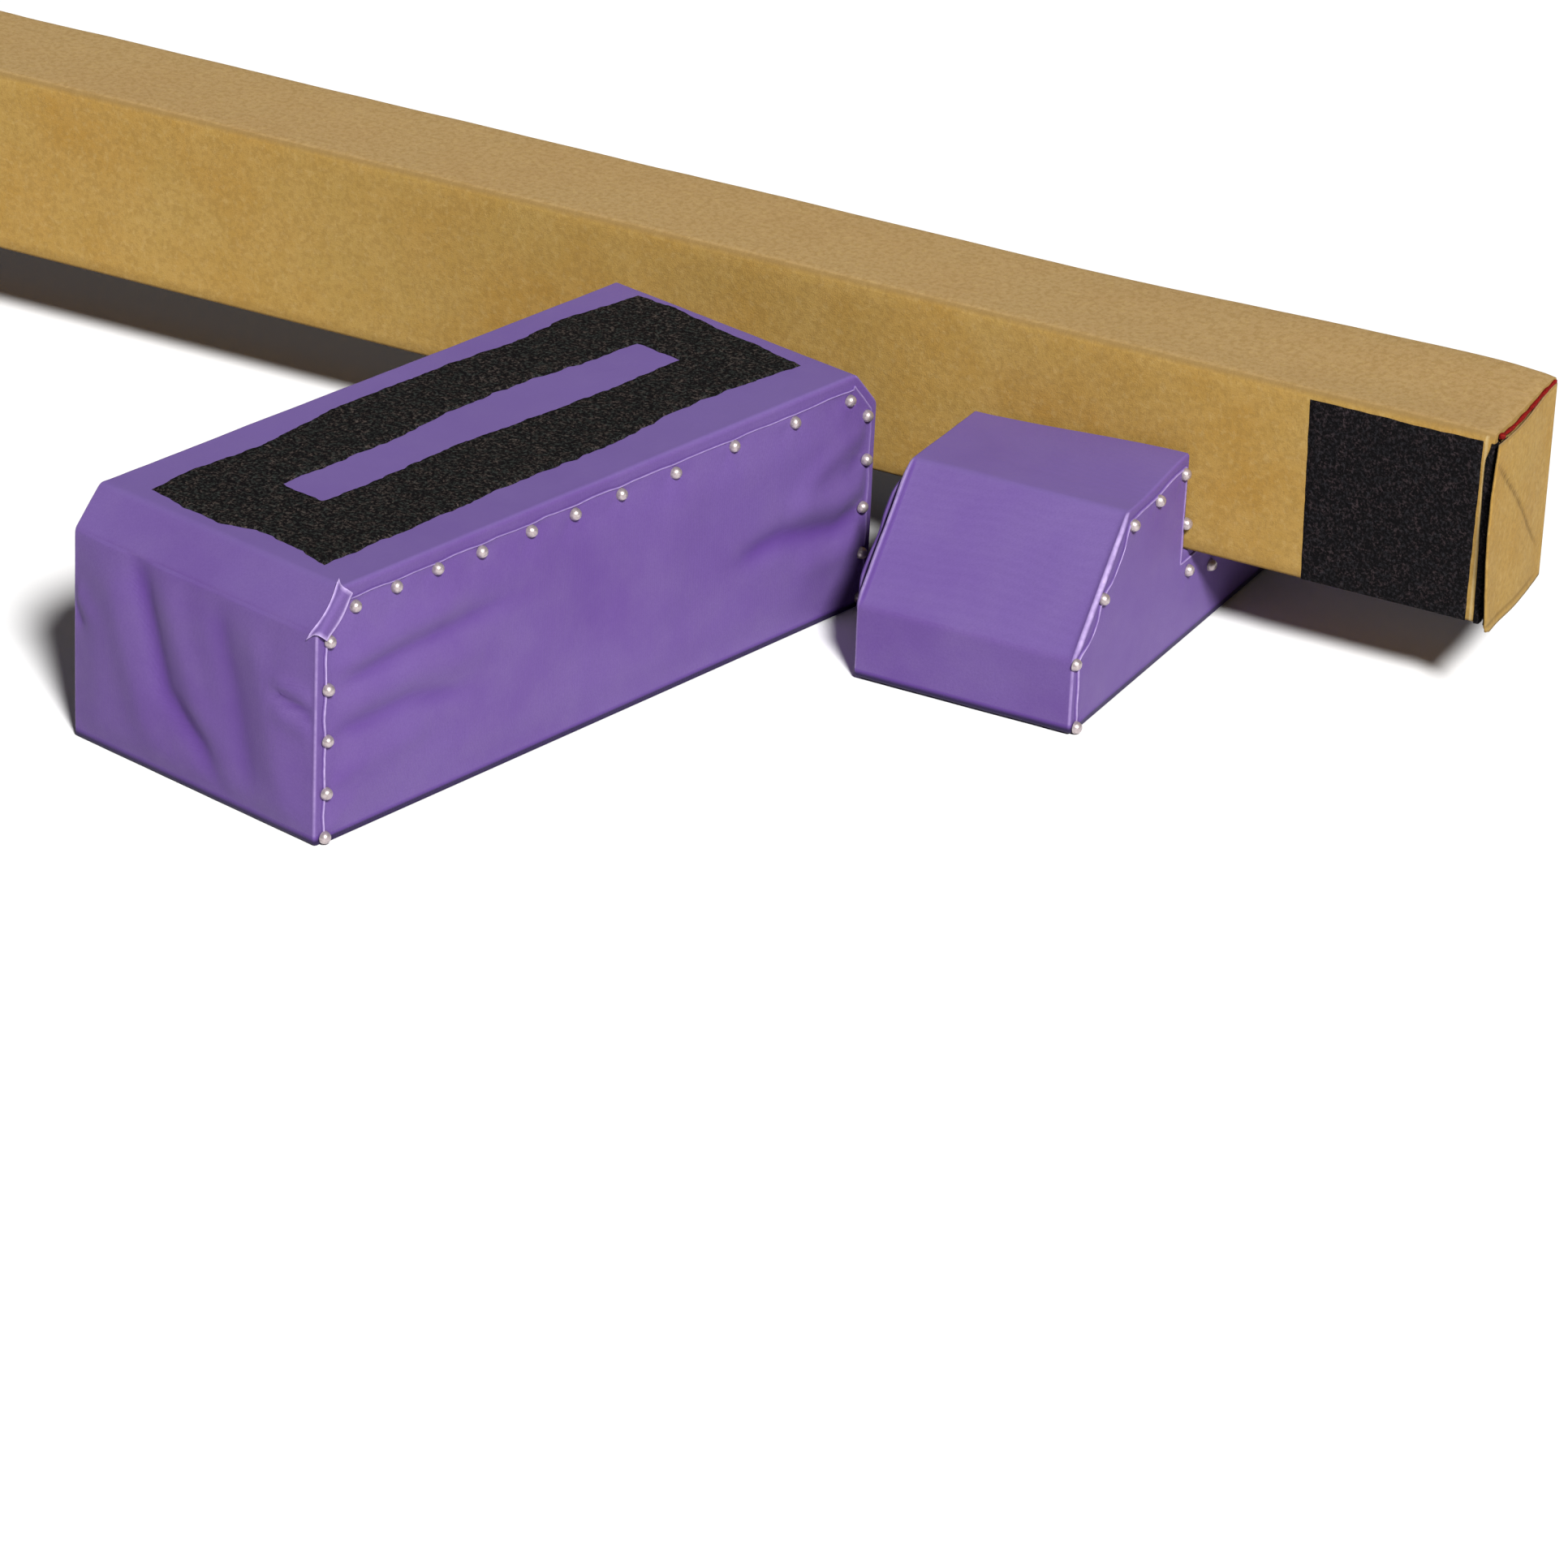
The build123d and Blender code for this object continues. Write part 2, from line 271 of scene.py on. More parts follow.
RISER = Block("riser", riser_width / 2, [
    (-riser_length / 2, 0), (riser_length / 2, 0),
    (riser_length / 2, riser_height - RISER_CHAMFER_DROP),
    (riser_length / 2 - RISER_CHAMFER_RUN, riser_height),
    (RISER_CHAMFER_RUN - riser_length / 2, riser_height),
    (-riser_length / 2, riser_height - RISER_CHAMFER_DROP)], 2 * [LOW_CORNER] + 4 * [BEND])
half_profile = [
    (cradle_depth / 2, cradle_base), (cradle_depth / 2, CRADLE_FOOT_HEIGHT),
    (cradle_depth / 2 - CRADLE_SLOPE_RUN, cradle_height),
    (notch_half, cradle_height), (notch_half, SADDLE_HEIGHT)]
half_radii = [LOW_CORNER, BEND, BEND, NOTCH_CORNER, NOTCH_CORNER]
CRADLE = Block("cradle", cradle_width / 2, half_profile + [(-x, z) for x, z in reversed(half_profile)],
               half_radii + half_radii[::-1])


# ---- materials ----------------------------------------------------------------------------------
class Shader:
    """A short way to write node materials."""

    def __init__(self, name):
        self.material = bpy.data.materials.new(name)
        self.material.use_nodes = True
        self.nodes = self.material.node_tree.nodes
        self.links = self.material.node_tree.links
        self.place = self.nodes.new("ShaderNodeTexCoord").outputs["Object"]

    def put(self, value, socket):
        """Set a socket to a number or color, or link it to another socket."""
        if isinstance(value, bpy.types.NodeSocket):
            self.links.new(value, socket)
        elif isinstance(value, tuple) and socket.type == "RGBA":
            socket.default_value = (*value, 1)
        else:
            socket.default_value = value

    def node(self, kind, **sockets):
        """A new node with some of its input sockets filled in."""
        node = self.nodes.new("ShaderNode" + kind)
        for name, value in sockets.items():
            self.put(value, node.inputs[name.replace("_", " ")])
        return node

    def noise(self, scale, detail=3.0, roughness=0.5, stretch=None):
        """Cloudy noise, drawn out along the axes where stretch is below 1."""
        vector = self.place
        if stretch:
            vector = self.node("Mapping", Vector=vector, Scale=stretch).outputs["Vector"]
        return self.node("TexNoise", Vector=vector, Scale=scale, Detail=detail,
                         Roughness=roughness).outputs["Fac"]

    def cells(self, scale):
        """Distance to the nearest of many scattered points."""
        return self.node("TexVoronoi", Vector=self.place, Scale=scale).outputs["Distance"]

    def wave(self, scale, axis):
        """Parallel threads across an axis."""
        node = self.node("TexWave", Vector=self.place, Scale=scale)
        node.bands_direction = axis
        return node.outputs["Fac"]

    def value(self, name):
        """A number that the piece carries per point."""
        node = self.node("Attribute")
        node.attribute_name = name
        return node.outputs["Fac"]

    def upward(self):
        """How far the surface faces up, from -1 to 1, at rest."""
        normal = self.node("NewGeometry").outputs["Normal"]
        return self.node("SeparateXYZ", Vector=normal).outputs["Z"]

    def times(self, a, b, operation="MULTIPLY"):
        """Two numbers multiplied, or joined by another operation."""
        node = self.nodes.new("ShaderNodeMath")
        node.operation = operation
        self.put(a, node.inputs[0])
        self.put(b, node.inputs[1])
        return node.outputs[0]

    def spread(self, value, low, high, to_low=0.0, to_high=1.0):
        """The value spread from low..high to to_low..to_high."""
        return self.node("MapRange", Value=value, From_Min=low, From_Max=high,
                         To_Min=to_low, To_Max=to_high).outputs["Result"]

    def mix(self, factor, a, b):
        """Color a turning into color b as the factor goes from 0 to 1."""
        node = self.nodes.new("ShaderNodeMix")
        node.data_type = "RGBA"
        for value, index in ((factor, 0), (a, 6), (b, 7)):
            self.put(value, node.inputs[index])
        return node.outputs[2]

    def bump(self, height, distance, strength, *under):
        """A normal with fine relief, on top of another where one is given."""
        node = self.node("Bump", Strength=strength, Distance=distance, Height=height)
        for normal in under:
            self.put(normal, node.inputs["Normal"])
        return node.outputs["Normal"]

    def finish(self, **sockets):
        """Fill in the surface shader's sockets and hand back the material."""
        for name, value in sockets.items():
            self.put(value, self.nodes["Principled BSDF"].inputs[name.replace("_", " ")])
        return self.material


def suede_material():
    """Golden tan napped suede: mottled nap, short fibres; painted lighter and greyer on top, painted
    shade along its edges.
    """
    s = Shader("suede")
    clouds = s.spread(s.noise(9, 4, 0.6), 0.35, 0.65)
    color = s.mix(clouds, (0.286, 0.160, 0.034), (0.300, 0.192, 0.053))
    patches = s.spread(s.noise(38, 3, 0.6), 0.4, 0.62)
    color = s.mix(s.times(patches, 0.35), color, (0.348, 0.222, 0.070))
    # painted light: faces that look up are painted paler and greyer, as if lit from above
    up = s.spread(s.upward(), 0.5, 0.95, 0.0, 0.6)
    color = s.mix(up, color, (0.328, 0.226, 0.120))
    mottle = s.spread(s.noise(230, 2, 0.6), 0.44, 0.62, 0.0, 0.40)
    color = s.mix(mottle, color, (0.200, 0.116, 0.030))
    bloom = s.spread(s.noise(170, 3, 0.6), 0.52, 0.68, 0.0, 0.30)
    color = s.mix(bloom, color, (0.401, 0.280, 0.112))
    fibres = s.noise(900, 3, 0.7)
    color = s.mix(s.spread(fibres, 0.3, 0.7, 0.0, 0.35), color, (0.240, 0.144, 0.037))
    # painted shade: the rounded edges between top and sides are darkened so that they don't catch the
    # light
    rounded = s.times(s.spread(s.upward(), 0.2, 0.55), s.spread(s.upward(), 0.985, 0.8))
    color = s.mix(s.times(rounded, 0.7), color, (0.176, 0.110, 0.040))
    # painted shade: darkens the sleeve's underside and lowest edge, the flap's crease and its stitched
    # hem
    color = s.mix(s.times(s.value("crease"), 0.85), color, (0.104, 0.056, 0.015))
    # painted highlight: a pale line beside the sealed edge of the closure tape
    color = s.mix(s.value("wear"), color, (0.497, 0.401, 0.223))
    normal = s.bump(fibres, 0.45 * MM, 0.8)
    normal = s.bump(s.noise(230, 3, 0.6), 1.0 * MM, 0.35, normal)
    return s.finish(Base_Color=color, Roughness=0.95, Normal=normal, Sheen_Weight=0.04,
                    Sheen_Roughness=0.5, Sheen_Tint=(1.0, 0.9, 0.72), Specular_IOR_Level=0.065)


def purple_material():
    """Purple coated cloth: fine plain weave, dull satin, painted lighter on top, pale rims partly worn
    and partly painted highlight, painted shade.
    """
    s = Shader("purple_cloth")
    shade = s.spread(s.noise(7, 3, 0.55), 0.35, 0.65)
    color = s.mix(shade, (0.097, 0.050, 0.192), (0.113, 0.066, 0.214))
    haze = s.spread(s.noise(26, 4, 0.6), 0.42, 0.66)
    color = s.mix(s.times(haze, 0.35), color, (0.128, 0.082, 0.214))
    grain = s.spread(s.noise(650, 3, 0.7), 0.3, 0.7, 0.0, 0.35)
    color = s.mix(grain, color, (0.069, 0.030, 0.155))
    # painted light: faces that look up are painted paler, as if lit from above
    color = s.mix(s.spread(s.upward(), 0.45, 0.95, 0.0, 0.5), color, (0.128, 0.087, 0.245))
    # pale rims and hem lines: partly worn cloth, partly painted highlight where the folded edges catch
    # the light
    rubbed_and_highlit = s.times(s.value("wear"), s.spread(s.noise(220, 2), 0.25, 0.6, 0.6, 1.0))
    color = s.mix(rubbed_and_highlit, color, (0.428, 0.331, 0.559))
    # painted shade: deeper violet down the folds, near black along the floor and in the grooves beside
    # the welts
    in_fold = s.spread(s.value("crease"), 0.0, 0.3, 0.0, 0.7)
    color = s.mix(in_fold, color, (0.068, 0.024, 0.167))
    in_shade = s.spread(s.value("crease"), 0.35, 1.0)
    color = s.mix(in_shade, color, (0.0096, 0.0040, 0.028))
    weave = s.times(s.wave(520, "X"), s.wave(520, "Z"))
    weave = s.times(weave, s.times(s.wave(520, "Y"), 0.5), "ADD")
    normal = s.bump(weave, 0.2 * MM, 0.5)
    normal = s.bump(s.noise(300, 3, 0.6), 0.5 * MM, 0.3, normal)
    roughness = s.spread(s.noise(40, 3), 0.3, 0.7, 0.56, 0.68)
    return s.finish(Base_Color=color, Roughness=roughness, Normal=normal, Sheen_Weight=0.065,
                    Sheen_Roughness=0.5, Sheen_Tint=(0.6, 0.5, 1), Specular_IOR_Level=0.18)


PILE_SCALE = 380


def tape_material(name, dark, fleck, shift):
    """Black hook or loop cloth: a dense pile whose tips catch the light."""
    s = Shader(name)
    tips = s.noise(PILE_SCALE, 3, 0.75)
    hue = s.spread(s.noise(PILE_SCALE * 0.5, 1), 0.4, 0.6)
    fleck = s.mix(hue, fleck, tuple(channel * share for channel, share in zip(fleck, shift)))
    color = s.mix(s.spread(tips, 0.48, 0.68), dark, fleck)
    normal = s.bump(tips, 1.4 * MM, 1.0)
    normal = s.bump(s.cells(PILE_SCALE * 0.9), 0.8 * MM, 0.6, normal)
    return s.finish(Base_Color=color, Roughness=0.88, Normal=normal, Specular_IOR_Level=0.05)


def nail_material():
    """Nickel-plated steel, a little dull and scratched."""
    s = Shader("nail_steel")
    tarnish = s.spread(s.noise(500, 3, 0.6), 0.4, 0.7)
    color = s.mix(tarnish, (0.50, 0.43, 0.43), (0.34, 0.28, 0.29))
    roughness = s.spread(s.noise(900, 2), 0.3, 0.7, 0.32, 0.46)
    normal = s.bump(s.noise(1400, 2), 0.05 * MM, 0.3)
    return s.finish(Base_Color=color, Roughness=roughness, Normal=normal, Metallic=0.7)


def wood_material(name, light, dark, grain):
    """Timber or plywood: long streaks along the boards."""
    s = Shader(name)
    streaks = s.noise(grain, 5, 0.65, (0.05, 1, 1))
    color = s.mix(s.spread(streaks, 0.35, 0.68), light, dark)
    fine = s.noise(grain * 6, 3, 0.6, (0.04, 1, 1))
    color = s.mix(s.spread(fine, 0.4, 0.8, 0, 0.35), color, dark)
    return s.finish(Base_Color=color, Roughness=0.7, Normal=s.bump(fine, 0.3 * MM, 0.5))


def foam_material():
    """Closed-cell foam with small open pores."""
    s = Shader("foam")
    pores = s.cells(700)
    color = s.mix(s.spread(pores, 0.1, 0.5), (0.440, 0.425, 0.360), (0.624, 0.608, 0.545))
    return s.finish(Base_Color=color, Roughness=0.9, Normal=s.bump(pores, 0.5 * MM, 0.6))


def piping_material():
    """Dark red twisted cotton."""
    s = Shader("red_piping")
    twist = s.noise(900, 2, 0.6)
    color = s.mix(s.spread(twist, 0.35, 0.65), (0.075, 0.0016, 0.0016), (0.215, 0.0050, 0.0032))
    return s.finish(Base_Color=color, Roughness=0.75, Normal=s.bump(twist, 0.3 * MM, 0.8),
                    Specular_IOR_Level=0.12)


looks = {
    "suede": suede_material(),
    "purple_cloth": purple_material(),
    "hook_tape": tape_material("hook_tape", (0.0040, 0.0034, 0.0038), (0.072, 0.057, 0.049),
                               (0.42, 0.60, 0.62)),
    "loop_cloth": tape_material("loop_cloth", (0.0034, 0.0031, 0.0035), (0.036, 0.026, 0.028),
                                (0.48, 0.62, 0.66)),
    "nail_steel": nail_material(),
    "timber": wood_material("timber", (0.576, 0.425, 0.264), (0.416, 0.264, 0.136), grain=70),
    "plywood": wood_material("plywood", (0.545, 0.416, 0.280), (0.440, 0.304, 0.176), grain=110),
    "foam": foam_material(),
    "red_piping": piping_material()}


# ---- beam sleeve --------------------------------------------------------------------------------
SLEEVE_RADII = (3 * MM, 4 * MM, 6 * MM, 3 * MM)     # low back, top back, top front, low front
SLEEVE_STEPS = (18, 16, 18, 16)
END_SWELL = 6.5 * MM        # the top swells towards the back near each end
END_ROLL = 13 * MM          # length over which the sleeve rolls down at each end
END_DROP = 1.3 * MM
SEALED_EDGE = 5.5 * MM      # the closure tape turns this far round onto the sleeve's front
# Rings of cloth folded over the timber's ends: mm in from the surface, mm beyond the end.
FOLDED_ENDS = ((1.0, 0.0), (2.4, 0.2), (11.5, 0.4))


def sleeve_section(shrink=0.0):
    """Section in y and z, counter-clockwise from the low back edge."""
    low, high, half = beam_low.z, beam_high.z, beam_half_y
    corners = [(half, low), (half, high), (-half, high), (-half, low)]
    return rounded_loop(corners, shrink, SLEEVE_RADII, SLEEVE_STEPS, smallest=1 * MM)


def end_stations(start, end, step):
    """Stations along the beam, close together near both ends."""
    near = [d * MM for d in (0, 1, 2.5, 4, 5.5, 6.5, 7.5, 9, 11, 14, 18, 24, 32)]
    inner = np.linspace(start + 40 * MM, end - 40 * MM, round((end - start) / step))
    return [start + d for d in near] + list(inner) + [end - d for d in reversed(near)]


def from_end(x):
    """Distance from the nearer end of the beam."""
    return np.minimum(x - beam_low.x, beam_high.x - x)


def swell(x, y):
    """How far the top of the sleeve stands above its solid: more at the back, near the ends."""
    near_end = 1 - smooth_step(from_end(x), 60 * MM, 400 * MM)
    near_end = near_end * (0.75 + 0.25 * smooth_step(from_end(x), 0, 40 * MM))
    return (1.0 * MM + END_SWELL * near_end) * smooth_step(y, -0.6 * beam_half_y, beam_half_y)


def rolled(points):
    """Let the foam-backed cloth swell at the back and roll down and in at the beam's ends."""
    x, y, z = np.array(points, float).T
    roll = np.clip(1 - from_end(x) / END_ROLL, 0, 1) ** 2
    height = (z - beam_low.z) / (beam_high.z - beam_low.z)
    z = z - END_DROP * roll * smooth_step(height, 0.3, 1.0)
    z = z + swell(x, y) * smooth_step(height, 0.75, 1.0)
    y = y * (1 - 0.006 * roll * smooth_step(height, 0.05, 0.6))
    return np.column_stack([x, y, z])


def make_sleeve():
    """The suede sleeve: soft long edges, slight hollows, rolled ends, painted shade on its underside
    and lowest edge.
    """
    section = sleeve_section()
    along = end_stations(beam_low.x, beam_high.x, 12 * MM)
    points = np.array([(x, y, z) for x in along for y, z in section])
    normals = normals_of(points, flipped(grid_faces(len(along), len(section), closed=True)))
    height = (points[:, 2] - beam_low.z) / (beam_high.z - beam_low.z)
    on_top = normals[:, 2] > 0.7
    relief = 0.55 * MM * fractal(points, 0.16, 1) + 0.22 * MM * fractal(points, 0.045, 2)
    relief += 0.5 * MM * (1 - (points[:, 1] / beam_half_y) ** 2) * on_top
    relief -= 0.35 * MM * smooth_step(height, 0.96, 0.99) * ~on_top
    points = rolled(points + normals * (relief * smooth_step(height, 0.03, 0.25))[:, None])
    rings = []
    for x, out, folds in ((beam_low.x, -1, FOLDED_ENDS[::-1]), (beam_high.x, 1, FOLDED_ENDS)):
        for shrink, ahead in folds:
            ring = rolled([(x, y, z) for y, z in sleeve_section(shrink * MM)])
            rings.append(ring + (out * ahead * MM, 0, 0))
    points = np.vstack(rings[:len(FOLDED_ENDS)] + [points] + rings[len(FOLDED_ENDS):])
    faces = flipped(grid_faces(len(points) // len(section), len(section), closed=True))
    # painted highlight on the cut edge, on the upright faces beside the sealed edge
    cut_edge = bell(from_end(points[:, 0]), SEALED_EDGE + 0.6 * MM, 0.8 * MM)
    upright = np.abs(points[:, 1]) > 0.97 * beam_half_y
    # painted shade: the underside and the lowest few mm of the sleeve are darkened, where shade falls
    # near the floor
    painted_underside_shade = 1 - smooth_step(points[:, 2] - beam_low.z, 1.2 * MM, 4.5 * MM)
    piece = make_piece("beam_suede", points, faces, "beam", "suede", "beam_cover",
                       wear=0.5 * cut_edge * upright, crease=0.85 * painted_underside_shade)


def make_foam():
    """Foam glued over the top and both sides of the timber, rolled at the ends like the sleeve."""
    core_low, core_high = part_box("beam_core")
    low, top, half = core_low.z + 0.3 * MM, core_high.z + 0.1 * MM, core_high.y + 0.1 * MM
    outer = [(y, z) for y, z in sleeve_section(SUEDE + 1.2 * MM) if z > low + 4 * MM]
    section = [(outer[0][0], low)] + outer + [(outer[-1][0], low)]
    section += [(-half, low), (-half, top), (half, top), (half, low)]
    along = end_stations(core_low.x + 4 * MM, core_high.x - 4 * MM, 60 * MM)
    points = rolled([(x, y, z) for x in along for y, z in section])
    first_end = tuple(range(len(section)))
    last_end = tuple(range(len(points) - len(section), len(points)))
    faces = flipped(grid_faces(len(along), len(section), closed=True) + [first_end[::-1], last_end])
    piece = make_piece("beam_foam", points, faces, "beam", "foam", "beam_padding", smooth=False)


make_sleeve()
make_foam()


# ---- cloth over the blocks ----------------------------------------------------------------------
EDGE_ROUND = 1.9 * MM
TOP_EDGE_ROUND = 4.6 * MM
EDGE_STANDS_OFF = 0.5 * MM  # so that the board underneath stays covered
HOLLOW_ROUND = 2 * MM
CLOTH_STEP = 5 * MM


def nail_places(node, place):
    """Where a node's nails sit in its near face: (x, z) pairs in the block's own frame."""
    points = local_points(node, place)
    groups = []
    for point in points[points[:, 1] < 0][:, (0, 2)]:
        for group in groups:
            if np.linalg.norm(group[0] - point) < NAIL_SPACE:
                group.append(point)
                break
        else:
            groups.append([point])
    return [(np.min(group, axis=0) + np.max(group, axis=0)) / 2 for group in groups]


def edge_stations(half):
    """(inset, y) stations of the wrap, from its lip on one side over to its other lip."""
    side = [(d * MM, half) for d in (20, 15, 11, 8.5, 7, 6, 5, 4, 3, 2.3)]
    for angle in np.arange(1, 8) * math.pi / 14:
        side.append((EDGE_ROUND * (1 - math.sin(angle)), half - EDGE_ROUND * (1 - math.cos(angle))))
    side += [(0.0, half - d * MM) for d in (2.8, 4, 5.4, 7, 9, 12)]
    across = np.linspace(side[-1][1], -side[-1][1], round(2 * side[-1][1] / CLOTH_STEP) + 1)
    return side + [(0.0, y) for y in across[1:-1]] + [(d, -y) for d, y in reversed(side)]


def round_top_edges(points, insets, half):
    """Round the riser's long top edges more softly than its other edges."""
    x, y, z = points.T
    from_side = half - np.abs(y)
    reach = riser_length / 2 - RISER_CHAMFER_RUN - 4 * MM - np.abs(x)
    signed = from_side - insets
    angle = np.clip((signed + TOP_EDGE_ROUND) / (2 * TOP_EDGE_ROUND), 0, 1) * math.pi / 2
    share = (z > riser_height - insets - 0.3 * MM) * (np.abs(signed) < TOP_EDGE_ROUND)
    share = share * smooth_step(reach, -12 * MM, 6 * MM)
    stand_off = EDGE_STANDS_OFF * np.sin(2 * angle)
    new_side = TOP_EDGE_ROUND * (1 - np.cos(angle)) - stand_off
    new_down = TOP_EDGE_ROUND * (1 - np.sin(angle)) - stand_off
    y = np.sign(y) * (half - from_side - share * (new_side - from_side))
    return np.column_stack([x, y, z + share * (riser_height - new_down - z)])


def fold_relief(points, folds):
    """Height of folds at 2-D points: each fold is (path in mm, half-width in mm, height in mm)."""
    result = np.zeros(len(points))
    for path, width, height in folds:
        path = np.array(path, float) * MM
        lengths = np.linalg.norm(np.diff(path, axis=0), axis=1)
        best, along, done = np.full(len(points), np.inf), np.zeros(len(points)), 0.0
        for start, end, length in zip(path, path[1:], lengths):
            share = np.clip((points - start) @ (end - start) / length ** 2, 0, 1)
            away = np.linalg.norm(points - start - share[:, None] * (end - start), axis=1)
            nearer = away < best
            best = np.where(nearer, away, best)
            along = np.where(nearer, (done + share * length) / lengths.sum(), along)
            done += length
        fade = smooth_step(along, 0, 0.18) * smooth_step(1 - along, 0, 0.25) * 0.85 + 0.15
        result += height * MM * fade * bell(best, 0, width * MM)
    return result


def painted_floor_shade(height):
    """Painted shade: a dark line where the cloth turns under at the floor."""
    return 0.97 * (1 - smooth_step(height, 4.0 * MM, 7.0 * MM))


def fold_shade(folds):
    """Painted shade: how much deeper the cloth's color is painted down in a fold."""
    return 0.30 * np.clip(-folds / (4.5 * MM), 0, 1)


def make_wrap(block, end, relief, seed):
    """The cloth wound round a block, its edges turned over both side faces."""
    edge = edge_stations(block.half - CLOTH)
    steps = side_steps(block.outline, CLOTH_STEP)
    loops = [rounded_loop(block.outline, d, block.radii, steps, hollow_radius=HOLLOW_ROUND)
             for d, _ in edge]
    count = len(loops[0])
    points = np.array([(x, y, z) for (_, y), loop in zip(edge, loops) for x, z in loop])
    insets = np.repeat([d for d, _ in edge], count)
    outward = nearest_edge(points[:, (0, 2)], block.outline)[1]
    if block is RISER:
        points = round_top_edges(points, insets, block.half - CLOTH)
    faces = flipped(grid_faces(len(edge), count, closed=True))
    lift, wear, crease = relief(points, insets, outward, seed)
    points = points + normals_of(points, faces) * lift[:, None]
    if block is CRADLE:
        points[:, 2] += bunched_corner(*points.T, 4 * MM)
    floor = block.outline[0][1]
    points[:, 2] = np.maximum(points[:, 2], floor)
    name = f"{end}_{block.kind}"
    # the crease value is painted shade: in folds, in grooves and along the floor
    piece = make_piece(f"{name}_cloth", points, faces, name, "purple_cloth", f"{name}_wrap",
                       places[block.kind][end], wear=wear,
                       crease=np.maximum(crease, painted_floor_shade(points[:, 2] - floor)))


def soft_relief(points, insets, outward, seed):
    """Slight slackness that every stretched cloth has, and pale edges: partly worn, partly painted
    highlight.
    """
    lift = 0.35 * MM * (1 + fractal(points, 0.11, seed)) + 0.14 * MM * fractal(points, 0.03, seed + 1)
    # pale edge line, partly worn and partly painted highlight; left off the top and bottom edges
    rubbed_and_highlit = bell(insets, 0.5 * MM, 0.55 * MM) * (insets > 0)
    rubbed_and_highlit *= 1 - smooth_step(outward[:, 1], 0.75, 0.9)
    rubbed_and_highlit *= 1 - smooth_step(-outward[:, 1], 0.5, 0.9)
    return lift, 0.5 * rubbed_and_highlit * (0.7 + 0.3 * fractal(points, 0.05, seed + 2))


# Each fold: its path over the face in mm from the face's middle and the floor, half-width, height.
RISER_END_FOLDS = [
    ([(62, 178), (43, 129), (25, 72), (-11, 41), (-38, 6)], 9, -4.6),
    ([(28, 168), (12, 118), (-6, 76), (-34, 44)], 12, 3.0),
    ([(84, 158), (66, 96), (46, 44), (20, 14)], 14, 3.0),
    ([(-24, 162), (-45, 93), (-64, 12)], 11, -2.8),
    ([(-60, 160), (-78, 92), (-94, 16)], 12, 2.2),
    ([(-85, 110), (-121, 100)], 3.4, -3.2),
    ([(-82, 121), (-120, 113)], 6, 2.4),
    ([(-84, 97), (-120, 87)], 7, 2.2),
    ([(127, 108), (110, 90)], 4, -2.6),
    ([(122, 124), (98, 98)], 8, 2.2)]
END_BULGE = 4.2 * MM


def riser_relief(points, insets, outward, seed):
    """Riser cloth: slack folds hang down its end faces, with painted shade down in them."""
    lift, wear = soft_relief(points, insets, outward, seed)
    on_end = smooth_step(np.abs(outward[:, 0]), 0.9, 0.99) * (insets <= 0)
    across, up = points[:, 1], points[:, 2]
    from_side = riser_width / 2 - np.abs(across)
    bulge = END_BULGE * smooth_step(from_side, 0, 34 * MM) * smooth_step(up, 0, 26 * MM)
    bulge *= smooth_step(riser_height - RISER_CHAMFER_DROP - up, -14 * MM, 34 * MM)
    near_face = fold_relief(points[:, (1, 2)], RISER_END_FOLDS)
    far_face = 0.7 * fold_relief(points[:, (1, 2)] * (-1, 1), RISER_END_FOLDS)
    folds = np.where(points[:, 0] < 0, near_face, far_face) * on_end
    edge = smooth_step(from_side, 1 * MM, 9 * MM) * smooth_step(up, 3 * MM, 14 * MM)
    lift += on_end * np.maximum((folds + bulge) * edge, -0.4 * MM)
    return lift, wear, fold_shade(folds * edge)


CORNER_RISE = 8.5 * MM      # the cloth bunches up at the near corner of a cradle's notch
WELT_RISE = 2.0 * MM


def bunched_corner(x, y, z, below_top):
    """How far the top of a cradle's front block is raised, most at its near notch corner."""
    rise = smooth_step(x, -notch_half - 95 * MM, -notch_half)
    rise = rise * smooth_step(-y, -CRADLE.half, CRADLE.half) * (x < 0)
    return CORNER_RISE * rise * smooth_step(z, SADDLE_HEIGHT + 20 * MM, cradle_height - below_top)


def on_slope(along, up, ease=8 * MM):
    """1 on a cradle's slopes, fading to 0 at their ends."""
    start = cradle_depth / 2 - CRADLE_SLOPE_RUN
    return (smooth_step(np.abs(along), start - 0.5 * ease, start + ease)
            * smooth_step(up, CRADLE_FOOT_HEIGHT - 0.5 * ease, CRADLE_FOOT_HEIGHT + ease))


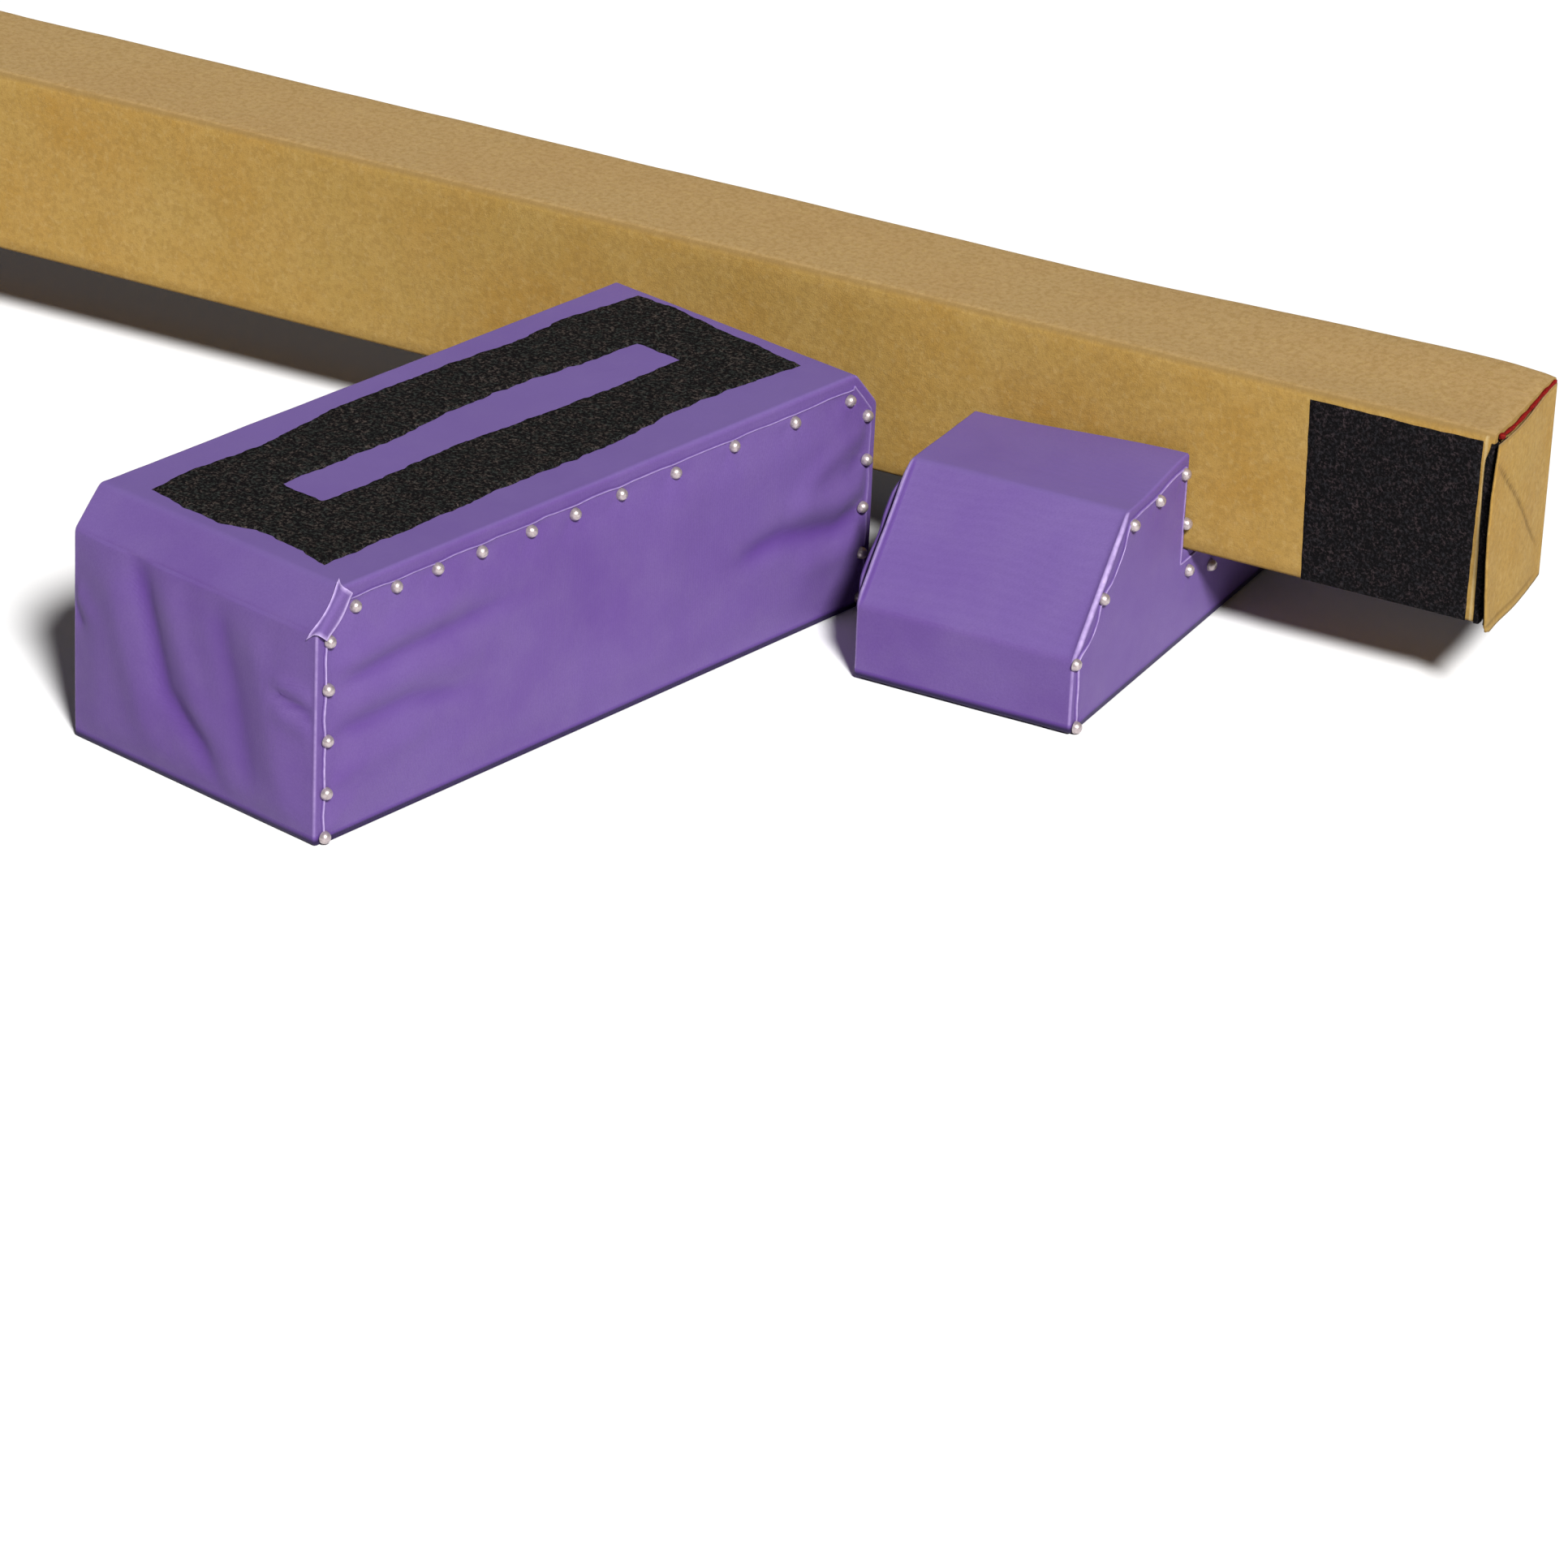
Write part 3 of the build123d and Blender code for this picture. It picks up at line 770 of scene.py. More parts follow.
def cradle_relief(points, insets, outward, seed):
    """Cradle cloth: the edge of each slope stands up like a welt, with painted shade beside it; the
    notch stays tight.
    """
    lift, wear = soft_relief(points, insets, outward, seed)
    along, up = np.abs(points[:, 0]), points[:, 2]
    to_side = CRADLE.half - np.abs(points[:, 1])
    from_edge = np.where(insets > 0, insets, to_side)
    slope = on_slope(along, up)
    welt = slope * bell(from_edge, 0.8 * MM, 3.0 * MM) * (0.85 + 0.15 * fractal(points, 0.03, seed + 4))
    in_notch = (along < notch_half + 2 * MM) & (up > SADDLE_HEIGHT - MM)
    lift = np.where(in_notch, 0.1 * lift, lift) + WELT_RISE * welt
    # painted shade: the groove between the welt and the hem
    gap = 0.7 * slope * (insets > 0) * bell(insets, 4.2 * MM, 1.4 * MM)
    # painted highlight: a pale rim along each slope's welt, where its edge catches the light
    rim = slope * bell(from_edge, 0.8 * MM, 1.0 * MM)
    wear = wear + rim * (0.34 + 0.34 * fractal(points, 0.006, seed + 6, 2))
    # painted shade: a thin band on the far side's puff, beside the welt
    beyond = (insets <= 0) & (points[:, 1] > 0)
    shade = 0.6 * slope * beyond * bell(to_side, 4.4 * MM, 1.0 * MM)
    return lift, np.clip(wear, 0, 1), np.maximum(shade, gap)


def interior(ring, step, margin):
    """Triangles that fill a ring: new points, and faces that index the ring then those points."""
    low, high = ring.min(0), ring.max(0)
    columns = np.arange(low[0] + step / 2, high[0], step)
    rows = np.arange(low[1] + step / 2, high[1], step * 0.866)
    grid = np.array([(x + (j % 2) * step / 2, z) for j, z in enumerate(rows) for x in columns])
    grid = grid[inside(grid, ring) & (nearest_edge(grid, ring)[0] > margin)]
    everything = [Vector(p) for p in np.vstack([ring, grid])]
    result = delaunay_2d_cdt(everything, [], [list(range(len(ring)))], 1, 1e-7)
    back = [min(original) for original in result[3]]
    return grid, [tuple(back[i] for i in face) for face in result[2]]


TOP_HEM_DROP = 3.2 * MM     # the riser's top hems hang a little lower than in the solids
SLACK = 3.2 * MM            # how far the riser's side cloth stands off between its edges
SCALLOP = 7.5 * MM          # how far a slope's hem recedes between its nails
FAR_PUFF = 3 * MM           # on the far side it puffs out over the welt instead
FOOT_PULL = 4.5 * MM        # and how far it is pulled out at the top of the foot
HEM_CORNER = 2.5 * MM
HEM_HOLLOW = 1.5 * MM
# Distances in from the hem's edge, in mm, and how high the cloth stands there.
HEM_STATIONS = (0, 0.35, 0.8, 1.3, 1.8, 2.4, 3.4, 5.0, 7.5, 11)
HEM_HEIGHTS = (0.2, 1.5, 2.1, 2.1, 1.6, 1.25, 1.2, 1.2, 1.2, 1.2)


def nail_relief(points, nails, seed):
    """Dimples at the nails and short pulls that run from them."""
    lift = np.zeros(len(points))
    rng = np.random.default_rng(seed)
    for nail in nails:
        away = points - nail
        reach = np.linalg.norm(away, axis=1)
        angle = np.arctan2(away[:, 1], away[:, 0])
        pulls = np.cos(angle * rng.integers(3, 6) + rng.uniform(0, 6.28))
        lift += 0.55 * MM * pulls * bell(reach, 11 * MM, 8 * MM) - 0.5 * MM * bell(reach, 0, 6 * MM)
    return lift


def make_side_cover(block, end, side, nails, folds, seed):
    """A hemmed side cloth held by the nails: side is -1 for the near face, +1 for the far one."""
    floor = block.outline[0][1]
    hem = inset(block.outline, HEM_INSET)
    hem[hem[:, 1] < floor + 1.01 * HEM_INSET, 1] = floor + 0.6 * MM
    steps, radii = side_steps(hem, CLOTH_STEP), [HEM_CORNER] * len(hem)
    loops = [rounded_loop(hem, d * MM, radii, steps, hollow_radius=HEM_HOLLOW) for d in HEM_STATIONS]
    count = len(loops[0])
    middle, fill = interior(loops[-1], step=6.5 * MM, margin=3 * MM)
    faces = flipped(grid_faces(len(loops), count, closed=True))
    faces += [tuple(i + (len(loops) - 1) * count for i in face) for face in fill]
    flat = np.vstack(loops + [middle])
    depth, outward = nearest_edge(flat, loops[0])
    seeded = np.column_stack([flat[:, 0], np.full(len(flat), side * block.half), flat[:, 1]])
    to_nail = np.min([np.linalg.norm(flat - nail, axis=1) for nail in nails], axis=0)
    free = smooth_step(to_nail, 3 * MM, 18 * MM)
    slope = on_slope(flat[:, 0], flat[:, 1], 16 * MM) * (block is CRADLE)
    wander = (fractal(seeded, 0.028, seed) + 0.9) * MM * free
    if block is RISER:
        wander -= TOP_HEM_DROP * smooth_step(outward[:, 1], 0.8, 0.95)
    else:
        wander -= (SCALLOP if side < 0 else -FAR_PUFF) * free * slope
        to_foot = np.hypot(np.abs(flat[:, 0]) - cradle_depth / 2, flat[:, 1] - CRADLE_FOOT_HEIGHT)
        wander += FOOT_PULL * bell(to_foot, 0, 15 * MM)
    wander *= smooth_step(flat[:, 1] - floor, 2 * MM, 14 * MM)
    hemmed = smooth_step(flat[:, 1] - floor, 2 * MM, 5 * MM)
    flat = flat + outward * (wander * np.exp(-depth / (5 * MM)))[:, None]
    folded = smooth_step(depth, 2 * MM, 12 * MM) * fold_relief(flat, folds)
    flat_height = HEM_HEIGHTS[-1] * MM
    heights = np.full(len(flat), flat_height)
    heights[:count * len(loops)] = np.repeat(HEM_HEIGHTS, count) * MM
    lift = flat_height + (heights - flat_height) * hemmed + folded
    lift += smooth_step(depth, 0.5 * MM, 6 * MM) * (
        0.3 * MM * (1 + fractal(seeded, 0.1, seed + 1)) + nail_relief(flat, nails, seed))
    if block is RISER:
        lift += SLACK * smooth_step(depth, 4 * MM, 38 * MM)
    elif side > 0:
        lift += 2.0 * FAR_PUFF * slope * np.exp(-depth / (18 * MM))
    y = side * (block.half - CLOTH + 0.1 * MM + np.maximum(lift, 0.1 * MM))
    points = np.column_stack([flat[:, 0], y, flat[:, 1]])
    if block is CRADLE:
        points[:, 2] += bunched_corner(*points.T, 10 * MM)
    # pale hem line: partly worn fold, partly painted highlight; brighter on upright hems, left off hems
    # that face away from the light
    bead = (0.6 + 0.45 * slope) * MM
    wear = hemmed * bell(depth, 0.35 * MM + bead, bead)
    wear *= 0.62 + 0.38 * smooth_step(np.abs(outward[:, 0]), 0.2, 0.8)
    wear *= 0.85 + 0.15 * fractal(seeded, 0.04, seed + 3)
    if block is RISER:
        wear *= 1 - 0.65 * smooth_step(outward[:, 0], 0.5, 0.9)
    elif side > 0:
        wear *= 1 - slope
    # painted shade: a dark line at the hem's outer rim, in the folds and along the floor
    rim = 0.6 * hemmed * bell(depth, -0.1 * MM, 0.3 * MM)
    crease = np.max([rim, fold_shade(folded), painted_floor_shade(flat[:, 1] - floor)], axis=0)
    name = f"{end}_{block.kind}"
    piece = make_piece(f"{name}_{'near' if side < 0 else 'far'}_side", points,
                       faces if side < 0 else flipped(faces), name, "purple_cloth",
                       f"{name}_side_covers", places[block.kind][end], wear=wear, crease=crease)


# Where the near side's nails were really driven, in mm; a nail goes to the place listed near it.
RISER_DRIVEN = [
    (-286.5, 158), (-287.5, 121), (-287.5, 81), (-288, 40), (-289, 5.8), (-262, 177.5), (-221, 179.5),
    (-179.5, 180), (-134.5, 179), (-83.5, 179), (-37.5, 178), (11.5, 178.5), (69.5, 177.5),
    (133.5, 179.5), (201, 178), (263, 177), (284, 158.5), (285.5, 122), (283.5, 83.5)]
CRADLE_DRIVEN = [(-207, 96), (-246, 58), (-241.5, 5.5), (-65.2, 102), (-55, 60), (-13, 48)]
NAIL_DRIFT = 22 * MM
NAIL_SCATTER = 0.9 * MM


def driven(nails, listed):
    """Nail places moved to where the near side's nails were driven."""
    moved = []
    for nail in nails:
        away = np.linalg.norm(np.array(listed) * MM - nail, axis=1)
        moved.append(np.array(listed[away.argmin()]) * MM if away.min() < NAIL_DRIFT else nail)
    return moved


def scattered(nails, seed):
    """Nail places a little off the solids', clear of the floor."""
    rng = np.random.default_rng(seed)
    x, z = (np.array(nails) + rng.normal(0, NAIL_SCATTER, (len(nails), 2))).T
    return np.column_stack([x, np.maximum(z, 6 * MM)])


FAR_SUNK = 3.2 * MM         # the far side's nails are driven deeper
NAIL_SIDES = 24
NAIL_TILT = 0.045
NAIL_STANDS_OFF = 0.3       # mm
# The head's rings, from its rim to its tip: share of its radius, height in mm.
NAIL_PROFILE = [(1.0, 0.0), (1.0, 0.6), (0.97, 1.6), (0.90, 2.8), (0.78, 3.9), (0.58, 4.9),
                (0.31, 5.45), (0.0, 5.6)]


def make_nails(block, end, near_nails, far_nails, seed):
    """Domed nail heads with a thin rim, each driven in at a slightly different tilt."""
    rng = np.random.default_rng(seed)
    angle = 2 * math.pi * np.arange(NAIL_SIDES) / NAIL_SIDES
    quads = grid_faces(len(NAIL_PROFILE), NAIL_SIDES, closed=True)
    points, faces = [], []
    for side, nails in ((-1, near_nails), (1, far_nails)):
        for x, z in nails:
            first = len(points)
            faces += [tuple(first + i for i in quad[::-side]) for quad in quads]
            tilt = rng.normal(0, NAIL_TILT, 2)
            sunk = FAR_SUNK if side > 0 else 0.0
            if block is CRADLE:
                sunk = max(sunk, 1.5 * MM * (abs(x) > cradle_depth / 2 - 4 * MM))
                z = z + bunched_corner(x, side * block.half, z, 10 * MM)
            for share, height in NAIL_PROFILE:
                dx, dz = share * HEAD_RADIUS * np.cos(angle), share * HEAD_RADIUS * np.sin(angle)
                out = block.half + (height + NAIL_STANDS_OFF) * MM - sunk
                out = out + dx * tilt[0] + dz * tilt[1]
                points += list(zip(x + dx, side * out, z + dz))
    name = f"{end}_{block.kind}"
    make_piece(f"{name}_nail_heads", points, faces, name, "nail_steel", f"{name}_nails",
               places[block.kind][end])


RISER_SIDE_FOLDS = [
    ([(-286, 121), (-217, 127), (-150, 131), (-90, 134)], 7, -3.2),
    ([(-286, 136), (-217, 145), (-140, 150)], 10, 3.4),
    ([(-286, 84), (-240, 86), (-208, 88), (-135, 72)], 7, -3.2),
    ([(-282, 102), (-208, 108), (-120, 100)], 11, 3.2),
    ([(-286, 50), (-240, 56), (-180, 60)], 11, 2.6),
    ([(-60, 176), (-20, 120), (10, 70)], 22, -1.4),
    ([(90, 170), (60, 110), (70, 50)], 24, 1.6),
    ([(290, 84), (250, 76), (190, 88), (130, 82)], 9, -5.0),
    ([(290, 106), (250, 100), (190, 112)], 12, 5.0),
    ([(290, 60), (250, 54), (200, 58)], 12, 3.4),
    ([(290, 150), (250, 140), (205, 118)], 9, 2.4),
    ([(290, 126), (262, 124)], 6, -2.6)]
TUCK_REACH = 9 * MM         # the side cloth's tongue over the chamfer's edge
TUCK_LIFT = 1.5 * MM
TUCK_FLARE = 0.26           # how much it widens on each side, as a share of its length


def make_tuck(end):
    """A tongue of the side cloth, turned over the edge of the near chamfer between two nails."""
    high, low = np.array(RISER.outline[-2:])
    run = high - low
    reach = stations([-HEM_INSET - 0.5 * MM, 0, TUCK_REACH - 1.2 * MM, TUCK_REACH], 0.9 * MM)
    shares = stations([0, 0.04, 0.96, 1], 0.05)
    ahead, share = (grid.ravel() for grid in np.meshgrid(reach, shares, indexing="ij"))
    over, to_side = np.maximum(ahead, 0), np.minimum(share, 1 - share)
    along = share + TUCK_FLARE * (over / TUCK_REACH) ** 1.5 * (2 * share - 1)
    bow = np.sin(math.pi * share)
    rim = 1.2 * MM * bell(ahead, TUCK_REACH, 1.8 * MM) + 0.7 * MM * bell(to_side, 0, 0.07)
    turn = 0.5 + 0.5 * np.tanh(ahead / (1.6 * MM))
    out = np.minimum(ahead, 0) * (1 + 0.45 * bow) + (TUCK_LIFT + rim) * turn
    x, z = (low + run * along[:, None] + left_of(unit(run)) * out[:, None]).T
    x = np.maximum(x, low[0] - 1.2 * MM - rim)
    y = over * (1 - 0.7 * bow) - (TUCK_LIFT + rim) * (1 - turn) - 0.8 * MM * (ahead < 0) - RISER.half
    z = np.minimum(z, high[1] + 1.2 * MM + rim)
    # painted highlight: pale lines along the tongue's turned rim and its hem
    line = np.maximum(bell(ahead, TUCK_REACH, 2.4 * MM), bell(ahead, -HEM_INSET, 1.0 * MM))
    name = f"{end}_riser"
    piece = make_piece(f"{name}_corner_tuck", np.column_stack([x, y, z]),
                       flipped(grid_faces(len(reach), len(shares))), name, "purple_cloth",
                       f"{name}_side_covers", places["riser"][end],
                       wear=0.9 * np.maximum(line, bell(to_side, 0, 0.045)))


def make_block_cloths(block, end, relief, listed, folds, seed):
    """A block's wrap, both of its side covers and their nails."""
    nails = nail_places(f"{end}_{block.kind}_nails", places[block.kind][end])
    near, far = driven(nails, listed), scattered(nails, seed + 32)
    make_wrap(block, end, relief, seed)
    make_side_cover(block, end, -1, near, folds, seed + 10)
    make_side_cover(block, end, 1, far, folds[1:], seed + 20)
    make_nails(block, end, near, far, seed + 30)


for beam_end in ENDS:
    make_block_cloths(RISER, beam_end, riser_relief, RISER_DRIVEN, RISER_SIDE_FOLDS, 11)
    make_tuck(beam_end)
for beam_end in ENDS:
    make_block_cloths(CRADLE, beam_end, cradle_relief, CRADLE_DRIVEN, [], 51)


# ---- hook and loop tapes ------------------------------------------------------------------------
def beyond(points, spans):
    """How far 2-D points are outside a box given as its two spans, negative inside it."""
    low, high = np.array(spans).T
    return np.maximum(low - points, points - high).max(-1)


def make_tape(name, body, slot, node, place, size, thickness, pile, step, wander, seed,
              hole=None, cut=None):
    """A tape patch with a relief of pile height, its edges wandering by up to wander mm.

    Its size is length and width. A hole gives the x and y spans of an opening, and cut is a
    function that moves the straight grid to the edges it was cut to.
    """
    breaks = [[-extent / 2, extent / 2] for extent in size]
    if hole:
        breaks = [sorted(ends + list(span)) for ends, span in zip(breaks, hole)]
    columns, rows = stations(breaks[0], step), stations(breaks[1], step)
    flat = np.array([(x, y) for x in columns for y in rows])
    faces = grid_faces(len(columns), len(rows))
    to_edge = (np.array(size) / 2 - np.abs(flat)).min(1)
    if hole:
        faces = [face for face in faces if beyond(flat[list(face)].mean(0), hole) > 0]
        to_edge = np.minimum(to_edge, np.maximum(beyond(flat, hole), 0))
    if cut:
        flat = cut(flat)
    seeded = np.column_stack([flat, np.zeros(len(flat))]) + seed
    drift = np.column_stack([fractal(seeded, 0.014, seed), fractal(seeded, 0.014, seed + 5)])
    flat = flat + wander * MM * drift * np.exp(-to_edge / (2 * step))[:, None]
    height = thickness * (0.1 + 0.9 * smooth_step(to_edge, -0.1 * MM, 0.9 * step))
    height += pile * fractal(seeded, 0.005, seed + 9, 2) * smooth_step(to_edge, 0, step)
    used, faces = np.unique(faces, return_inverse=True)
    make_piece(name, np.column_stack([flat, height])[used],
               [tuple(face) for face in faces.reshape(-1, 4)], body, slot, node, place)


def facing(centre, along, out):
    """A place whose local x runs along, z points out."""
    along, out = Vector(along), Vector(out)
    matrix = Matrix((along, out.cross(along), out)).transposed().to_4x4()
    matrix.translation = Vector(centre)
    return matrix


# The ring is cut by hand: its edges wander. Positions on the riser's top, in mm, first along the
# near edge, the opening's two edges and the far edge, as (x, y), then along both ends, as (y, x).
RING_ROWS = [
    [(-257, -88), (-150, -87), (-60, -83), (49, -85), (120, -76), (182, -76), (257, -83)],
    [(-181, -12), (-120, -13), (-42, -8), (22, -12), (123, -16), (195, -14)],
    [(-181, 30), (-71, 29), (5, 37), (75, 38), (138, 31), (195, 29)],
    [(-257, 86), (-215, 91), (-150, 87), (-50, 99), (60, 98), (134, 94), (190, 99), (257, 91)]]
RING_LEFT_EDGE = [(-84, -256), (-45, -250), (-15, -250), (13, -261), (50, -259), (95, -256)]
RING_RIGHT_EDGE = [(-84, 253), (-32, 258), (9, 259), (60, 266), (95, 262)]


def edge_at(controls, at):
    """Position of a wandering edge at stations along it."""
    return np.interp(at, *(np.array(controls, float) * MM).T)


def make_hook_ring(end):
    """The hook tape on a riser's top, cut by hand round an opening."""
    place = places["riser"][end]
    node = f"{end}_riser_hook_ring"
    points = local_points(node, place)
    xs, ys = [np.unique(np.round(points[:, axis], 4))[[0, 1, -2, -1]] for axis in (0, 1)]
    middle = np.array([xs[0] + xs[3], ys[0] + ys[3]]) / 2

    def cut(flat):
        """The solid's straight edges moved to where they were cut."""
        x, y = (flat + middle).T
        rows = [edge_at(row, x) for row in RING_ROWS]
        new_y = rows[0]
        for low, high, low_row, high_row in zip(ys, ys[1:], rows, rows[1:]):
            new_y = new_y + np.clip((y - low) / (high - low), 0, 1) * (high_row - low_row)
        left = edge_at(RING_LEFT_EDGE, y) - xs[0]
        right = edge_at(RING_RIGHT_EDGE, y) - xs[3]
        new_x = (x + left * np.clip((xs[1] - x) / (xs[1] - xs[0]), 0, 1)
                 + right * np.clip((x - xs[2]) / (xs[3] - xs[2]), 0, 1))
        return np.column_stack([new_x, new_y])

    low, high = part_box(node)
    make_tape(f"{end}_hook_ring", f"{end}_riser", "hook_tape", node,
              place @ Matrix.Translation((0, 0, riser_height + 0.4 * MM)),
              (xs[3] - xs[0], ys[3] - ys[0]), high.z - low.z, pile=0.5 * MM, step=2.6 * MM,
              wander=2.1, seed=3, hole=(xs[1:3] - middle[0], ys[1:3] - middle[1]), cut=cut)


PATCH_LEAN = 3.7 * MM         # a patch's top edge sits this much further from the beam's end
PATCH_TAPER = 5.6 * MM        # but its edge beside that end is cut nearly upright
PATCH_SHORT = 2.0 * MM        # and a little short of its solid


def patch_cut(end_way, width, height):
    """How a patch's grid is moved to the edges it was cut to; end_way is 1 where x runs outwards."""
    def cut(flat):
        share = 0.5 + end_way * flat[:, 0] / width
        up = flat[:, 1] / height
        ahead = share * (PATCH_TAPER * up - PATCH_SHORT) - PATCH_LEAN * up
        return flat + np.column_stack([end_way * ahead, np.zeros(len(flat))])
    return cut


def make_loop_patches(end):
    """The loop patches on the beam's front and back."""
    for face, out in (("front", -1), ("back", 1)):
        node = f"{end}_{face}_loop_patch"
        low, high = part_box(node)
        low.z = beam_low.z + 0.6 * MM
        width, height = high.x - low.x - 2.3 * MM, high.z - low.z
        centre = ((low.x + high.x) / 2 + 0.1 * MM * ENDS[end], low.y if out > 0 else high.y,
                  (low.z + high.z) / 2)
        make_tape(f"{end}_{face}_loop_pile", "beam", "loop_cloth", node,
                  facing(centre, (-out, 0, 0), (0, out, 0)), (width, height), high.y - low.y,
                  pile=0.15 * MM, step=3 * MM, wander=0.35, seed=13 + out,
                  cut=patch_cut(-out * ENDS[end], width, height))


def make_cradle_tapes(end):
    """The hook pads inside a cradle's notch and the loop sheet under it."""
    node = f"{end}_cradle_hook_pads"
    low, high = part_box(node)
    middle = (low + high) / 2
    for label, out in (("back", -1), ("front", 1)):
        centre = (middle.x, low.y if out > 0 else high.y, middle.z)
        make_tape(f"{end}_{label}_hook_pad", f"{end}_cradle", "hook_tape", node,
                  facing(centre, (out, 0, 0), (0, out, 0)), (high.x - low.x, high.z - low.z),
                  1.4 * MM, pile=0.15 * MM, step=3 * MM, wander=0.4, seed=17 + out)
    node = f"{end}_cradle_base_sheet"
    low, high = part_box(node)
    centre = ((low.x + high.x) / 2, (low.y + high.y) / 2, high.z)
    make_tape(f"{end}_base_loop_sheet", f"{end}_cradle", "loop_cloth", node,
              facing(centre, (0, 1, 0), (0, 0, -1)), (high.y - low.y, high.x - low.x),
              high.z - low.z, pile=0.1 * MM, step=5 * MM, wander=1.0, seed=23)


STRIP_TAIL = 13 * MM        # the closure strips reach down to the flap's corner


def make_end_strips(end):
    """The closure strips between a flap and the beam's end."""
    for node, body, slot, way, tail in (
            (f"{end}_end_loop_strip", "beam", "loop_cloth", ENDS[end], 0.6 * STRIP_TAIL),
            (f"{end}_flap_hook_strip", f"{end}_flap", "hook_tape", -ENDS[end], STRIP_TAIL)):
        low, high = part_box(node)
        low.z -= tail
        centre = (low.x if way > 0 else high.x, (low.y + high.y) / 2, (low.z + high.z) / 2)
        make_tape(f"{node}_pile", body, slot, node, facing(centre, (0, 0, 1), (way, 0, 0)),
                  (high.z - low.z, high.y - low.y), high.x - low.x, pile=0.2 * MM, step=2 * MM,
                  wander=0.5, seed=29)


def make_sealed_edge(end):
    """The loop strip's edge, turned round from the beam's end onto the front of the sleeve."""
    node = f"{end}_end_loop_strip"
    low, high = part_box(node)
    front, stand, reach = -beam_half_y, 1.0 * MM, SEALED_EDGE / MM
    path = [(0.5, front + 9 * MM), (1, front + 5 * MM), (1, front + 2 * MM),
            (0.9, front + 0.2 * MM), (0.3, front - 0.8 * stand), (-1, front - stand),
            (-3, front - stand), (0.8 - reach, front - stand),
            (0.2 - reach, front - 0.6 * stand), (-reach, front + 0.3 * MM)]
    bottom, top = beam_low.z + 0.5 * MM, high.z + 3 * MM
    heights = stations([bottom, top - 14 * MM, top], 3 * MM)
    points = []
    for z in heights:
        narrow = 1 - 0.75 * smooth_step(z, top - 16 * MM, top)
        narrow *= 0.62 + 0.38 * smooth_step(z, bottom, bottom + 110 * MM)
        sway = 0.4 * MM * noise.noise(Vector((0, 3.1, z / 0.018)))
        for ahead, y in path:
            x = ahead * MM * (narrow if ahead < 0 else 1) + sway * (ahead < -1)
            points.append(((low.x if ENDS[end] > 0 else high.x) + ENDS[end] * x, y, z))
    faces = grid_faces(len(heights), len(path))
    make_piece(f"{end}_sealed_edge", points, faces if ENDS[end] > 0 else flipped(faces), "beam",
               "loop_cloth", node)


for beam_end in ENDS:
    make_hook_ring(beam_end)
for beam_end in ENDS:
    make_loop_patches(beam_end)
    make_cradle_tapes(beam_end)
for beam_end in ENDS:
    make_end_strips(beam_end)
for beam_end in ENDS:
    make_sealed_edge(beam_end)


# ---- end flaps ----------------------------------------------------------------------------------
HINGE_ROUND = 4.5 * MM
BACK_GAP = 0.9 * MM         # the flap hugs the beam's end at the back
FLAP_TOP_DROP = 3.2 * MM    # below the solid's top, so that the piping shows
FLAP_CREASE = [([(-66, 212), (-20, 167), (12, 132), (44, 100)], 1.2, -1.3)]
# How far its free edge reaches past the solid, in mm, from the bottom up.
FLAP_FREE_EDGE = [(0, 6), (0.08, 8), (0.22, 12.5), (0.4, 15), (0.55, 15), (0.72, 12), (0.9, 7), (1, 5)]
FLAP_HEM_LINE = 6 * MM      # stitched hem above the flap's lower edge
FLAP_CLEARANCE = 3.6 * MM   # where it turns round the beam it stays above a cradle's seat


def flap_path(gap, back, front):
    """Stations of the flap from the beam's back upright edge round to its free edge: (x, y)."""
    path = [(-8 * MM, back), (BACK_GAP - HINGE_ROUND, back)]
    for angle in [math.pi / 12 * k for k in range(1, 7)]:
        path.append((BACK_GAP - HINGE_ROUND * (1 - math.sin(angle)),
                     back - HINGE_ROUND * (1 - math.cos(angle))))
    start = path[-1][1]
    for share in np.linspace(0, 1, 61)[1:]:
        path.append((BACK_GAP + (gap - BACK_GAP) * smooth_step(share, 0.0, 0.72),
                     start + (front - start) * share))
    return path


